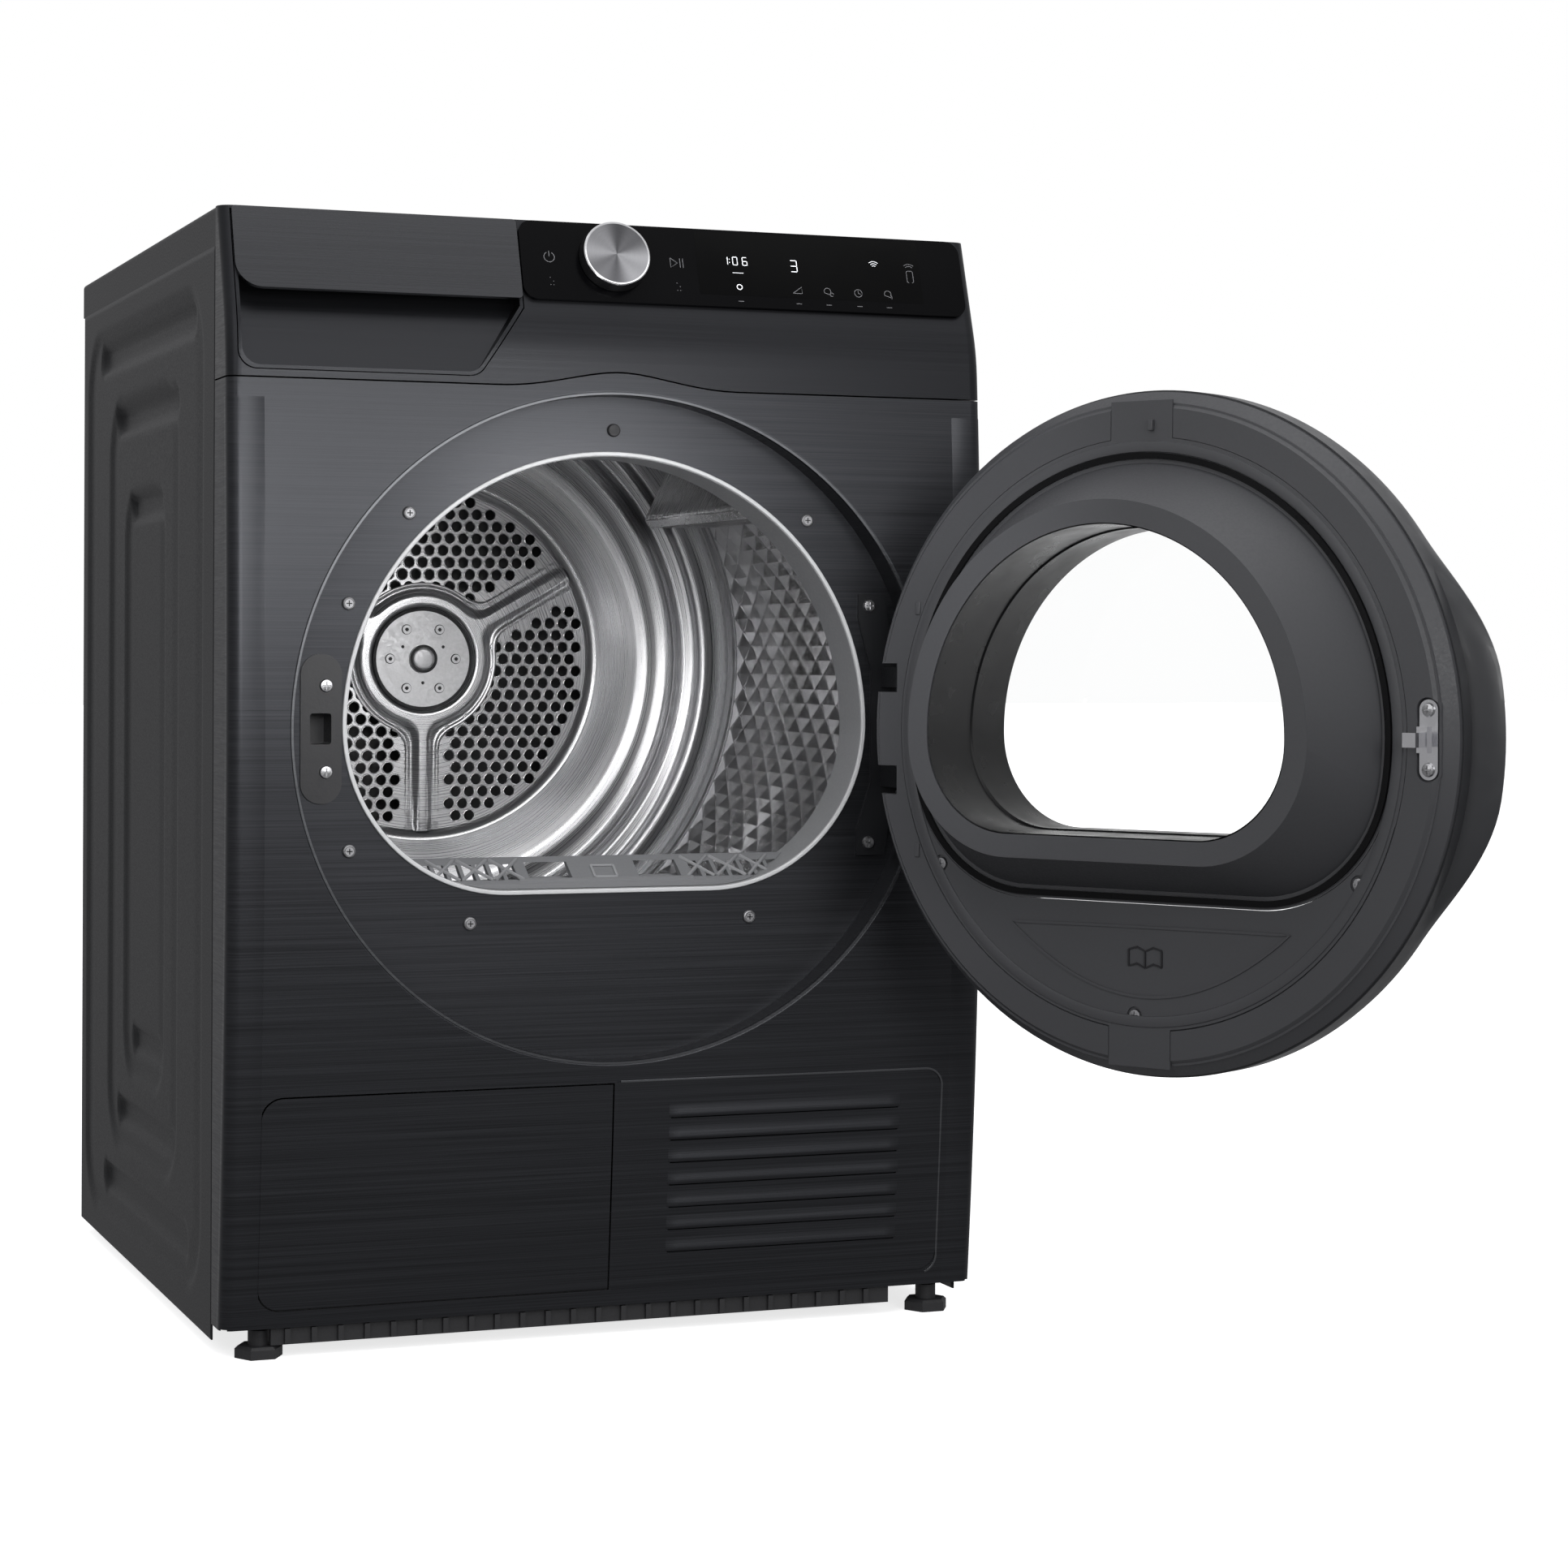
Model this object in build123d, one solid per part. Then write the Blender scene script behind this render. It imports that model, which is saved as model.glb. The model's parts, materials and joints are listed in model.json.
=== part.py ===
"""Heat-pump clothes dryer with its round door standing open.

Millimetres.  X runs right, Y runs back and Z runs up; the origin is on the floor
under the middle of the cabinet.  The door and its parts are drawn closed and then
swung open about the hinge pins.
"""
from build123d import *
import math
import os

# ---- cabinet ----
width = 600.0
height = 850.0
depth = 650.0
sheet = 1.2                 # steel panels
plastic = 2.5               # moulded shells
joint_gap = 1.2             # visible gap between front parts
front_y = -depth / 2
back_y = depth / 2
frame_depth = 56.0          # front parts wrap back this far round the sides
seam_y = front_y + frame_depth
cover_height = 30.0
cover_z = height - cover_height
cover_overhang = 12.0
rear_y = back_y - cover_overhang
side_foot_z = 11.0
front_foot_z = 23.0
belly_z = 450.0             # height at which the front face stands furthest out
belly_radius = 4100.0
corner_radius = 10.0

# ---- front face lines ----
split_z = 720.0             # joint between front panel and fascia
wave_rise = 12.0
wave_half = 95.0
bend_low_z = 740.0          # the fascia starts to lean back here
bend_high_z = 775.0
lean = 18.7                 # degrees, of the control strip
fascia_top_z = 849.0
fascia_wall = 3.5

# ---- door opening ----
door_z = 463.0
recess_radius = 252.5
recess_y = front_y + 29.5
port_z = 464.0
port_radius = 206.0
port_corner = 125.0
port_drop = 123.5
tunnel_wall = 3.0
tunnel_back_y = front_y + 67.0
bezel_width = 3.6
bezel_height = 2.0
screw_head = 5.0
screw_circle = 225.0

# ---- drum ----
drum_z = 514.0
drum_radius = 286.0         # inside of the wall
drum_sheet = 1.0
drum_front_y = -245.0
drum_seam_y = 200.0
drum_back_y = 262.0
drum_neck = 262.0           # radius of the front opening
hub_radius = 45.0
hub_screw_circle = 31.0
shaft_radius = 10.0
hole_radius = 4.75
hole_pitch = 12.8
hole_zone_in = 66.0
hole_zone_out = 156.0
spoke_half = 15.0
lifter_height = 58.0
lifter_half = 38.0
lifter_angle = 33.0
running_gap = 0.3
shaft_gap = 0.05

# ---- door ----
opened_angle = 120.5
hinge_x = 232.3
hinge_y = front_y - 17.0
door_plane_y = front_y + 24.0
door_radius = 249.5
frame_flat = 236.0          # the flat of the inner frame ends here
frame_seam = 215.0
window_radius = 151.0
window_corner = 70.0
window_drop = 73.0
lip_width = 17.0
bulge_height = 55.0
base_radius = 196.0
base_corner = 95.0
base_drop = 113.0
door_front_y = front_y - 28.0
grip_radius = 262.0
grip_half_angle = 27.0
knuckle_offset = 39.0
knuckle_height = 16.0
knuckle_radius = 6.5
pin_radius = 3.0
lug_height = 2.6
lug_gap = 0.4
tab_half = 26.0
tab_reach = 241.0
latch_x = 226.0             # distance of the latch from the door's middle

# ---- control strip, drawer ----
strip_left = -292.0
strip_right = 291.0
strip_split = -74.0
strip_low = 11.6            # up the leaning face from its lower bend
strip_high = 76.5
strip_proud = 3.5
strip_thick = 7.0
knob_radius = 26.3
knob_height = 15.0
knob_up = 47.0
pocket_bottom = 727.0
pocket_knee = (-111.0, 732.0)
pocket_top_right = (-74.0, 780.0)
pocket_depth = 34.0
liner_wall = 2.5
tank_length = 435.0
tank_front_y = -272.0
tank_wall = 2.0
tank_floor_z = 737.0
tank_top_z = 812.0
tank_drum_gap = 10.0
tank_left = -284.0
tank_right = -95.0

# ---- lower front ----
flap_left = -273.0
flap_right = -4.0
flap_low = 36.5
flap_high = 193.0
flap_corner = 16.0
flap_wall = 2.5
louvre_left = 43.0
louvre_right = 231.0
louvre_top = 167.5
louvre_pitch = 17.3
louvre_count = 7
louvre_height = 5.0
louvre_wall = 4.4
lower_right = 268.0
lower_top = 195.0

# ---- inside ----
tray_z = 24.0
tray_wall = 3.0
tray_height = 70.0
axis_x = 110.0              # motor and fan
axis_z = 120.0
belt_y = -185.0
belt_width = 10.0
belt_thick = 2.0
pulley_radius = 9.0
motor_radius = 55.0
motor_front_y = -168.0
motor_length = 118.0
fan_radius = 62.0
fan_y = -20.0
fan_width = 32.0
roller_radius = 30.0
roller_width = 14.0
roller_y = -226.0
roller_angle = 32.0
axle_radius = 5.0
exchanger_left = -280.0
exchanger_right = -30.0
exchanger_low = 56.0
exchanger_high = 182.0
evaporator_y = -155.0
condenser_y = -25.0
pipe_z = 140.0
pipe_radius = 4.0
compressor_radius = 68.0
compressor_x = 190.0
compressor_y = 125.0
foot_x = 268.0
foot_front_y = -285.0
foot_back_y = 285.0
foot_radius = 18.0
foot_thread = 5.0


# ---------------------------------------------------------------- helpers
def at_y(y):
    """Drawing plane facing the user at depth y: local x is X and local y is Z."""
    return Plane((0, y, 0), x_dir=(1, 0, 0), z_dir=(0, -1, 0))


def slab(face, y_front, y_back):
    """Give a face drawn in (x, z) a thickness from y_front to y_back."""
    return extrude(at_y(y_back) * face, y_back - y_front)


def block(x0, x1, y0, y1, z0, z1):
    """Box between two corners."""
    centre = ((x0 + x1) / 2, (y0 + y1) / 2, (z0 + z1) / 2)
    return Pos(*centre) * Box(x1 - x0, y1 - y0, z1 - z0)


def rod_y(x, z, radius, y0, y1):
    """Round bar along Y."""
    return slab(Pos(x, z) * Circle(radius), y0, y1)


def tube_y(x, z, outer, inner, y0, y1):
    """Round tube along Y."""
    return slab(Pos(x, z) * (Circle(outer) - Circle(inner)), y0, y1)


def rod_z(x, y, radius, z0, z1):
    """Upright round bar."""
    return Pos(x, y, (z0 + z1) / 2) * Cylinder(radius, z1 - z0)


def turned(points, x, z):
    """Revolve a closed (radius, y) outline about the Y line through (x, z)."""
    plane = Plane((x, 0, z))
    return revolve(plane * make_face(Polyline(*points, close=True)), Axis((x, 0, z), (0, 1, 0)))


def rounded(x0, x1, z0, z1, radius):
    """Rounded rectangle face between two corners."""
    return Pos((x0 + x1) / 2, (z0 + z1) / 2) * RectangleRounded(x1 - x0, z1 - z0, radius)


def d_face(radius, corner, drop, grow=0.0):
    """Round outline with a flat bottom, blended by two corner arcs, about its centre."""
    side = math.sqrt((radius - corner) ** 2 - (drop - corner) ** 2)
    turn = math.atan2(corner - drop, side)
    big, small, low = radius + grow, corner + grow, -(drop + grow)
    half_turn = (turn - math.pi / 2) / 2
    touch = (big * math.cos(turn), big * math.sin(turn))
    middle = (side + small * math.cos(half_turn), low + small + small * math.sin(half_turn))
    edges = [
        Line((-side, low), (side, low)),
        ThreePointArc((side, low), middle, touch),
        ThreePointArc(touch, (0, big), (-touch[0], touch[1])),
        ThreePointArc((-touch[0], touch[1]), (-middle[0], middle[1]), (-side, low)),
    ]
    return make_face(edges)


def port_face(grow=0.0):
    """Outline of the door opening."""
    return Pos(0, port_z) * d_face(port_radius, port_corner, port_drop, grow)


def face_y(z):
    """Depth of the bellied front face at height z."""
    return front_y + belly_radius - math.sqrt(belly_radius ** 2 - (z - belly_z) ** 2)


def bend_y():
    """Depth of the fascia where its lower bend ends and the control strip begins."""
    start = math.degrees(math.asin((bend_low_z - belly_z) / belly_radius))
    return face_y(bend_low_z) + (bend_high_z - bend_low_z) * math.tan(math.radians((lean + start) / 2))


def swung(shape):
    """Swing a closed door piece open about the hinge pins."""
    return shape.rotate(Axis((hinge_x, hinge_y, 0), (0, 0, 1)), opened_angle)


def wave_face(shift):
    """Everything above the joint line between front panel and fascia."""
    z = split_z + shift
    top = height + 50
    half = width
    edges = [
        Line((-half, top), (-half, z)),
        Line((-half, z), (-wave_half, z)),
        Spline((-wave_half, z), (0, z + wave_rise), (wave_half, z), tangents=((1, 0), (1, 0))),
        Line((wave_half, z), (half, z)),
        Line((half, z), (half, top)),
        Line((half, top), (-half, top)),
    ]
    return make_face(edges)


def above_wave(shift):
    """Cutter that removes everything above the shifted joint line."""
    return slab(wave_face(shift), front_y - 50, seam_y + 50)


def round_sides(blank, half, radius):
    """Round the two upright front corners of a front blank."""
    edges = [
        edge for edge in blank.edges()
        if abs(abs(edge.center().X) - half) < 0.01
        and edge.bounding_box().size.Z > 10
        and edge.center().Y < seam_y - 5
    ]
    return fillet(edges, radius)


def panel_blank(z_low, z_high, inset, y_back):
    """Bellied block of the front panel, set in from the outer faces."""
    half = width / 2 - inset
    middle = (z_low + z_high) / 2
    edges = [
        ThreePointArc((face_y(z_low) + inset, z_low), (face_y(middle) + inset, middle),
                      (face_y(z_high) + inset, z_high)),
        Line((face_y(z_high) + inset, z_high), (y_back, z_high)),
        Line((y_back, z_high), (y_back, z_low)),
        Line((y_back, z_low), (face_y(z_low) + inset, z_low)),
    ]
    blank = extrude(Plane.YZ * make_face(edges), half, both=True)
    return round_sides(blank, half, corner_radius - inset)


def fascia_blank(z_low, z_high, inset, y_back):
    """Block of the fascia: bellied at the foot, leaning back at the control strip."""
    half = width / 2 - inset
    rise = z_high - bend_high_z
    y_low = face_y(z_low) + inset
    y_bend_low = face_y(bend_low_z) + inset
    y_bend_high = bend_y() + inset / math.cos(math.radians(lean))
    y_top = y_bend_high + rise * math.tan(math.radians(lean))
    middle_z = (z_low + bend_low_z) / 2
    slope = (bend_low_z - belly_z) / belly_radius
    edges = [
        ThreePointArc((y_low, z_low), (face_y(middle_z) + inset, middle_z), (y_bend_low, bend_low_z)),
        TangentArc((y_bend_low, bend_low_z), (y_bend_high, bend_high_z), tangent=(slope, 1)),
        Line((y_bend_high, bend_high_z), (y_top, z_high)),
        Line((y_top, z_high), (y_back, z_high)),
        Line((y_back, z_high), (y_back, z_low)),
        Line((y_back, z_low), (y_low, z_low)),
    ]
    blank = extrude(Plane.YZ * make_face(edges), half, both=True)
    return round_sides(blank, half, corner_radius - inset)


def strip_plane():
    """Plane of the leaning control strip: local y runs up the face, normal points at the user."""
    tilt = math.radians(lean)
    return Plane((0, bend_y(), bend_high_z), x_dir=(1, 0, 0), z_dir=(0, -math.cos(tilt), math.sin(tilt)))


def on_strip(face, low, high):
    """Give a face drawn on the control strip a thickness from low to high off its plane."""
    return strip_plane().offset(low) * extrude(face, high - low)


def screw(x, z, y_seat, length=10.0):
    """Cross-recessed pan-head screw driven back from the seat at y_seat."""
    head = turned([(0, y_seat), (screw_head, y_seat), (screw_head * 0.85, y_seat - 1.8),
                   (0, y_seat - 2.4)], x, z)
    cross = block(x - 3, x + 3, y_seat - 3, y_seat - 1.3, z - 0.5, z + 0.5)
    cross += block(x - 0.5, x + 0.5, y_seat - 3, y_seat - 1.3, z - 3, z + 3)
    return head + rod_y(x, z, 2.0, y_seat, y_seat + length) - cross


# ---------------------------------------------------------------- cabinet shell
def side_rings():
    """The three nested pressed rings of a side panel as (y0, y1, z0, z1, radius, band)."""
    y_mid = (seam_y + rear_y) / 2
    return [
        (y_mid - 232, y_mid + 232, 42, 786, 60, 20),
        (y_mid - 155, y_mid + 155, 104, 719, 50, 18),
        (y_mid - 78, y_mid + 78, 176, 654, 40, 16),
    ]


def side_panel(sign):
    """Steel side with three nested pressed rings."""
    press = 5.0
    face_x = sign * width / 2
    inner_x = sign * (width / 2 - sheet)
    panel = block(min(face_x, inner_x), max(face_x, inner_x), seam_y, rear_y, side_foot_z, cover_z)
    for y0, y1, z0, z1, radius, band in side_rings():
        for grow, deep, add in ((sheet, press + sheet, True), (0.0, press, False)):
            outer = rounded(y0 - grow, y1 + grow, z0 - grow, z1 + grow, radius + grow)
            hole = rounded(y0 + band + grow, y1 - band - grow, z0 + 3 * band + grow,
                           z1 - 3 * band - grow, max(radius - band, 8) + grow)
            ring = Plane.YZ.offset(face_x) * extrude(outer - hole, -sign * deep)
            panel = panel + ring if add else panel - ring
    return panel


def rear_panel():
    """Steel back with a pressed round field, air vents and the holes for its fittings."""
    y0, y1 = rear_y, rear_y + sheet
    plate = block(-width / 2 + sheet, width / 2 - sheet, y0, y1, side_foot_z, cover_z)
    field = tube_y(0, drum_z, 238, 238 - 14, y0, y0 + 6)
    groove = tube_y(0, drum_z, 238 - sheet, 238 - 14 + sheet, y0 - 1, y0 + 6 - sheet)
    plate = plate + field - groove
    for row in range(8):
        z = 60 + 14 * row
        plate -= block(90, 230, y0 - 5, y1 + 5, z, z + 6)
    plate -= block(-252, -200, y0 - 5, y1 + 5, 700, 742)
    return plate


def top_cover():
    """Worktop tray with a turned-down rim."""
    outer = block(-width / 2, width / 2, seam_y, back_y, cover_z, height)
    upright = [e for e in outer.edges().filter_by(Axis.Z) if e.center().Y > 0]
    outer = fillet(upright, 6)
    rim = [e for e in outer.faces().sort_by(Axis.Z)[-1].edges() if e.center().Y > seam_y + 1]
    outer = fillet(rim, 4)
    inner = block(-width / 2 + plastic, width / 2 - plastic, seam_y + plastic, back_y - plastic,
                  cover_z - 1, height - plastic)
    return outer - inner


def lower_outline(grow):
    """Outline of the lower zone that holds the flap and the louvres."""
    return rounded(flap_left - grow, lower_right + grow, flap_low - 1 - grow, lower_top + grow,
                   flap_corner + grow)


def flap_face(grow):
    """Outline of the access flap: two round corners on the left, square ones on the right."""
    left = rounded(flap_left - grow, flap_right, flap_low - grow, flap_high + grow, flap_corner + grow)
    right = Pos((flap_right + flap_left) / 2 + 40, (flap_low + flap_high) / 2) * Rectangle(
        flap_right - flap_left - 80 + 2 * grow, flap_high - flap_low + 2 * grow)
    return left + right


def hinge_plate_face(grow=0.0):
    """Outline of the plate that carries the hinge knuckles."""
    points = [(203 - grow, door_z + 104 + grow), (226 + grow, door_z + 104 + grow),
              (232 + grow, door_z + 60), (232 + grow, door_z - 60), (226 + grow, door_z - 101 - grow),
              (202 - grow, door_z - 101 - grow), (202 - grow, door_z - 82), (214 - grow, door_z - 44),
              (214 - grow, door_z + 44), (203 - grow, door_z + 84)]
    return make_face(Polyline(*points, close=True))


def catch_slot(grow=0.0):
    """Outline of the hole that the latch hook enters."""
    return Pos(-latch_x, door_z) * RectangleRounded(16 + 2 * grow, 23 + 2 * grow, 2)


def ring_screw_places():
    """Where the screws round the door opening sit, as (x, z)."""
    places = [(-159, 624), (160, 624), (-205, 556), (-204, 372), (-111, 316), (113, 316)]
    return [(x, z) for x, z in places]


def front_panel():
    """Bellied steel front with the round door recess, the door opening and the louvres."""
    top_z = split_z + wave_rise
    outer = panel_blank(front_foot_z, top_z, 0.0, seam_y)
    void = panel_blank(front_foot_z + sheet, top_z - sheet, sheet, seam_y + 10)
    void -= above_wave(-sheet)
    cup = rod_y(0, door_z, recess_radius + sheet, front_y - 50, recess_y + sheet)
    backing_z0 = louvre_top - louvre_pitch * (louvre_count - 1) - 9
    backing = block(louvre_left - 6, louvre_right + 6, front_y, seam_y, backing_z0, louvre_top + 14)
    backing -= panel_blank(front_foot_z - 1, top_z, louvre_wall, seam_y + 1)
    void = void - cup - backing
    panel = outer - above_wave(0.0) - void
    panel -= block(-width / 2 + sheet, width / 2 - sheet, front_y + 23.6, seam_y + 1,
                   front_foot_z - 1, front_foot_z + 2)
    panel -= rod_y(0, door_z, recess_radius, front_y - 50, recess_y)
    mouth = [e for e in panel.edges() if e.length > 1500 and e.center().Y < recess_y - 10]
    panel = fillet(mouth, 3)
    panel -= slab(port_face(tunnel_wall + 0.2), recess_y - 1, recess_y + 5)
    panel -= slab(catch_slot(1.0), recess_y - 1, recess_y + 5)
    for x, z in ring_screw_places():
        panel -= rod_y(x, z, 2.2, recess_y - 1, recess_y + 5)
    for z in (door_z + 95, door_z - 91):
        panel -= rod_y(212, z, 2.2, recess_y - 1, recess_y + 5)
    for z in (door_z + 32, door_z - 32):
        panel -= rod_y(-latch_x + 4, z, 2.2, recess_y - 1, recess_y + 5)
    panel -= slab(flap_face(joint_gap), front_y - 5, seam_y + 5)
    for row in range(louvre_count):
        z = louvre_top - louvre_pitch * row
        half = louvre_height / 2
        y = face_y(z)
        slot = Polyline((y - 3, z - half - 1.5), (y - 3, z + half - 1.5), (y + 10, z + half + 5),
                        (y + 10, z - half + 5), close=True)
        cutter = extrude(Plane.YZ * make_face(slot), louvre_right - louvre_left)
        panel -= Pos(louvre_left, 0, 0) * cutter
    ring = slab(lower_outline(0.7) - lower_outline(-0.7), front_y - 5, front_y + 40)
    ring -= block(flap_left - 5, flap_right + 3, front_y - 10, seam_y, 0, lower_top + 5)
    skin = panel_blank(front_foot_z, top_z, -0.1, seam_y)
    skin -= panel_blank(front_foot_z - 1, top_z + 1, 0.6, seam_y + 1)
    return panel - (ring & skin)


def pocket_outline(grow):
    """Outline of the drawer: the finger pocket below and the strip above."""
    points = [(strip_left - grow, height), (strip_left - grow, pocket_bottom - grow),
              (pocket_knee[0] + 0.5 * grow, pocket_bottom - grow),
              (pocket_top_right[0] + grow, pocket_top_right[1] - 0.5 * grow),
              (strip_split + grow, height)]
    face = make_face(Polyline(*points, close=True))
    low = [v for v in face.vertices() if v.Y < pocket_bottom + 10]
    return fillet(low, 14)


def fascia():
    """Upper front moulding that holds the drawer and the control strip."""
    low_z = split_z + joint_gap
    outer = fascia_blank(low_z, fascia_top_z, 0.0, seam_y)
    void = fascia_blank(low_z + fascia_wall, fascia_top_z - plastic, fascia_wall, seam_y + 10)
    lift = joint_gap + fascia_wall
    below = slab(Rectangle(3 * width, 2 * height), front_y - 50, seam_y + 50) - above_wave(lift)
    shell = outer - (void - below)
    shell -= slab(Rectangle(3 * width, 2 * height), front_y - 50, seam_y + 50) - above_wave(joint_gap)
    strip = rounded(strip_split - 1, strip_right + 0.6, strip_low - 0.6, strip_high + 0.6, 12)
    shell -= on_strip(strip, -0.2, 20)
    window = rounded(strip_split + 12, strip_right - 10, strip_low + 8, strip_high - 8, 6)
    shell -= on_strip(window, -10, 10)
    opening = pocket_outline(0.8) & (Pos(-150, 700) * Rectangle(300, 2 * (fascia_top_z - 700) - 4.5))
    return shell - slab(opening, front_y - 10, seam_y + 20)


def console_glass():
    """Black glass plate of the control strip."""
    plate = rounded(strip_split + 0.6, strip_right, strip_low, strip_high, 11)
    glass = on_strip(plate, 0.0, strip_proud)
    return glass - on_strip(Pos(0, knob_up) * Circle(4.0), -1, strip_proud + 1)


def display_board():
    """Circuit board with the knob's switch and its spindle behind the glass."""
    board = on_strip(rounded(-66, 276, strip_low + 6, strip_high - 8, 3), -8.0, -6.4)
    rim = on_strip(rounded(-68, 282, strip_low + 2, strip_high - 2, 4), -6.4, -fascia_wall)
    rim -= on_strip(rounded(-60, 274, strip_low + 10, strip_high - 10, 4), -7, -3)
    switch = on_strip(Pos(0, knob_up) * Rectangle(14, 14), -6.4, -1.0)
    spindle = on_strip(Pos(0, knob_up) * Circle(3.0), -1.0, strip_proud + 8.0)
    display = on_strip(rounded(70, 252, strip_low + 11, strip_high - 11, 3), -6.4, -0.3)
    return board + rim + switch + spindle + display


def knob():
    """Programme knob, bored to turn on the switch's spindle."""
    low = strip_proud + 0.5
    skirt = on_strip(Pos(0, knob_up) * Circle(knob_radius + 1.2), low, low + 4.0)
    body = on_strip(Pos(0, knob_up) * Circle(knob_radius), low + 4.0, strip_proud + knob_height)
    rim = [e for e in body.edges() if e.length > 100]
    body = chamfer(sorted(rim, key=lambda e: e.center().Y)[0], 1.2)
    bore = on_strip(Pos(0, knob_up) * Circle(3.0 + shaft_gap), low - 1, strip_proud + 8.2)
    return skirt + body - bore


# ---------------------------------------------------------------- water drawer
def drawer_front():
    """Glossy front plate of the water drawer."""
    plate = rounded(strip_left, strip_split - 0.6, strip_low, strip_high, 3)
    corner = rounded(strip_left, strip_split - 0.6, strip_low, strip_high + 40, 20)
    keep = corner + rounded(strip_left + 60, strip_split - 0.6, strip_low, strip_high, 2)
    return on_strip(plate & keep, 0.0, strip_proud)


def drawer_liner():
    """Sloped finger pocket below the drawer front, and the wall that carries the tank."""
    inner = slab(pocket_outline(0.0), front_y - 5, tank_front_y)
    body = fascia_blank(pocket_bottom - 30, fascia_top_z - 6, 0.3, tank_front_y)
    pocket_y = face_y(pocket_bottom)
    roof_z = bend_high_z + 24
    slope = [(front_y - 40, pocket_bottom + 1), (pocket_y + 1.5, pocket_bottom + 1),
             (pocket_y + pocket_depth, roof_z), (front_y - 40, roof_z)]
    void = extrude(Plane.YZ * make_face(Polyline(*slope, close=True)), width, both=True)
    side = slab(pocket_outline(-liner_wall), front_y - 50, seam_y + 50)
    under_plate = on_strip(rounded(-400, 400, -60, 200, 2), -0.02, 60)
    shell = inner & body
    shell -= void & side
    shell -= under_plate
    back_y0 = tank_front_y - liner_wall
    hollow = [(pocket_y + 1.5 + 2 * liner_wall, pocket_bottom + liner_wall),
              (back_y0, pocket_bottom + liner_wall), (back_y0, height), (back_y0 - 1, height),
              (pocket_y + pocket_depth + liner_wall, height),
              (pocket_y + pocket_depth + liner_wall, roof_z + liner_wall),
              (pocket_y + pocket_depth + liner_wall, roof_z - 3)]
    back = extrude(Plane.YZ * make_face(Polyline(*hollow, close=True)), width, both=True)
    return shell - (back & side)


def tank_face(grow):
    """Section of the water tank: a box whose lower side clears the drum."""
    reach = drum_radius + drum_sheet + tank_drum_gap - grow
    floor = tank_floor_z - grow
    left, right = tank_left - grow, tank_right + grow
    turn_x = -math.sqrt(reach ** 2 - (floor - drum_z) ** 2)
    end_z = drum_z + math.sqrt(reach ** 2 - right ** 2)
    mid_x = (turn_x + right) / 2
    mid_z = drum_z + math.sqrt(reach ** 2 - mid_x ** 2)
    edges = [
        Line((left, tank_top_z), (left, floor)),
        Line((left, floor), (turn_x, floor)),
        ThreePointArc((turn_x, floor), (mid_x, mid_z), (right, end_z)),
        Line((right, end_z), (right, tank_top_z)),
        Line((right, tank_top_z), (left, tank_top_z)),
    ]
    return make_face(edges)


def water_tank():
    """Tray-shaped tank that collects the condensed water."""
    y0, y1 = tank_front_y, tank_front_y + tank_length
    outer = slab(tank_face(0.0), y0, y1)
    inner = slab(tank_face(-tank_wall) + Pos(-190, tank_top_z) * Rectangle(189 - 2 * tank_wall, 10),
                 y0 + tank_wall, y1 - tank_wall)
    return outer - inner


def tank_lid():
    """Lid of the tank with its pouring spout."""
    y0, y1 = tank_front_y, tank_front_y + tank_length
    plate = block(tank_left, tank_right, y0, y1, tank_top_z, tank_top_z + 2)
    spout = rod_z(-190, y1 - 40, 18, tank_top_z, tank_top_z + 4.5)
    return plate + spout - rod_z(-190, y1 - 40, 14, tank_top_z - 1, tank_top_z + 10)


# ---------------------------------------------------------------- front structure
def front_bulkhead():
    """Steel frame behind the front panel; it carries the tunnel, felt and rollers."""
    y0, y1 = tunnel_back_y, tunnel_back_y + sheet
    half = width / 2 - sheet
    plate = block(-half, half, y0, y1, 190, cover_z - 2)
    plate -= slab(port_face(tunnel_wall + 0.2), y0 - 1, y1 + 1)
    tank_gate = block(-half - 1, tank_right + 8, y0 - 1, y1 + 1, tank_floor_z - 3, cover_z)
    drum_side = rod_y(0, drum_z, drum_radius + 4, y0 - 2, y1 + 2)
    plate -= tank_gate - drum_side
    plate -= block(-half - 1, tank_right + 8, y0 - 1, y1 + 1, tank_floor_z + 45, cover_z)
    for sign in (-1, 1):
        x, z = roller_centre(sign)
        plate += rod_y(x, z, axle_radius, y0, roller_y + roller_width / 2 + 4)
        plate += rod_y(x, z, 12, y0, roller_y - roller_width / 2 - 1.5)
        rail = block(sign * half - (12 if sign > 0 else 0), sign * half + (12 if sign < 0 else 0),
                     y0, y0 + 9, 190, 700)
        plate += rail
    shelf = block(-292, -205, y0, 150, tank_floor_z - 3.3, tank_floor_z - 0.3)
    return plate + shelf


def porthole_tunnel():
    """Moulded ring from the front panel to the bulkhead, with the filter's shaft below it."""
    wall = slab(port_face(tunnel_wall) - port_face(0.0), recess_y, tunnel_back_y + 6)
    flange = slab(port_face(12.0) - port_face(1.0), tunnel_back_y - 3, tunnel_back_y)
    x = filter_half() + 1.0 + tunnel_wall
    y0, y1 = recess_y + 3.5, tunnel_back_y - 3
    low = exchanger_high
    shaft = block(-x, x, y0, y1, low + 20, port_z - port_drop - 0.5)
    shaft += block(-150, x, y0, y1, low, low + 46)
    y2, y3 = y0 + tunnel_wall, y1 - tunnel_wall
    hole = block(tunnel_wall - x, x - tunnel_wall, y2, y3, low + 20, 400)
    hole += block(tunnel_wall - 150, x - tunnel_wall, y2, y3, low + tunnel_wall, low + 46 - tunnel_wall)
    hole += block(tunnel_wall - 150, exchanger_right - 4, y2, y3, low - 1, low + 10)
    return wall + flange + (shaft - slab(port_face(0.0), y0 - 5, y1 + 5)) - hole


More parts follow.
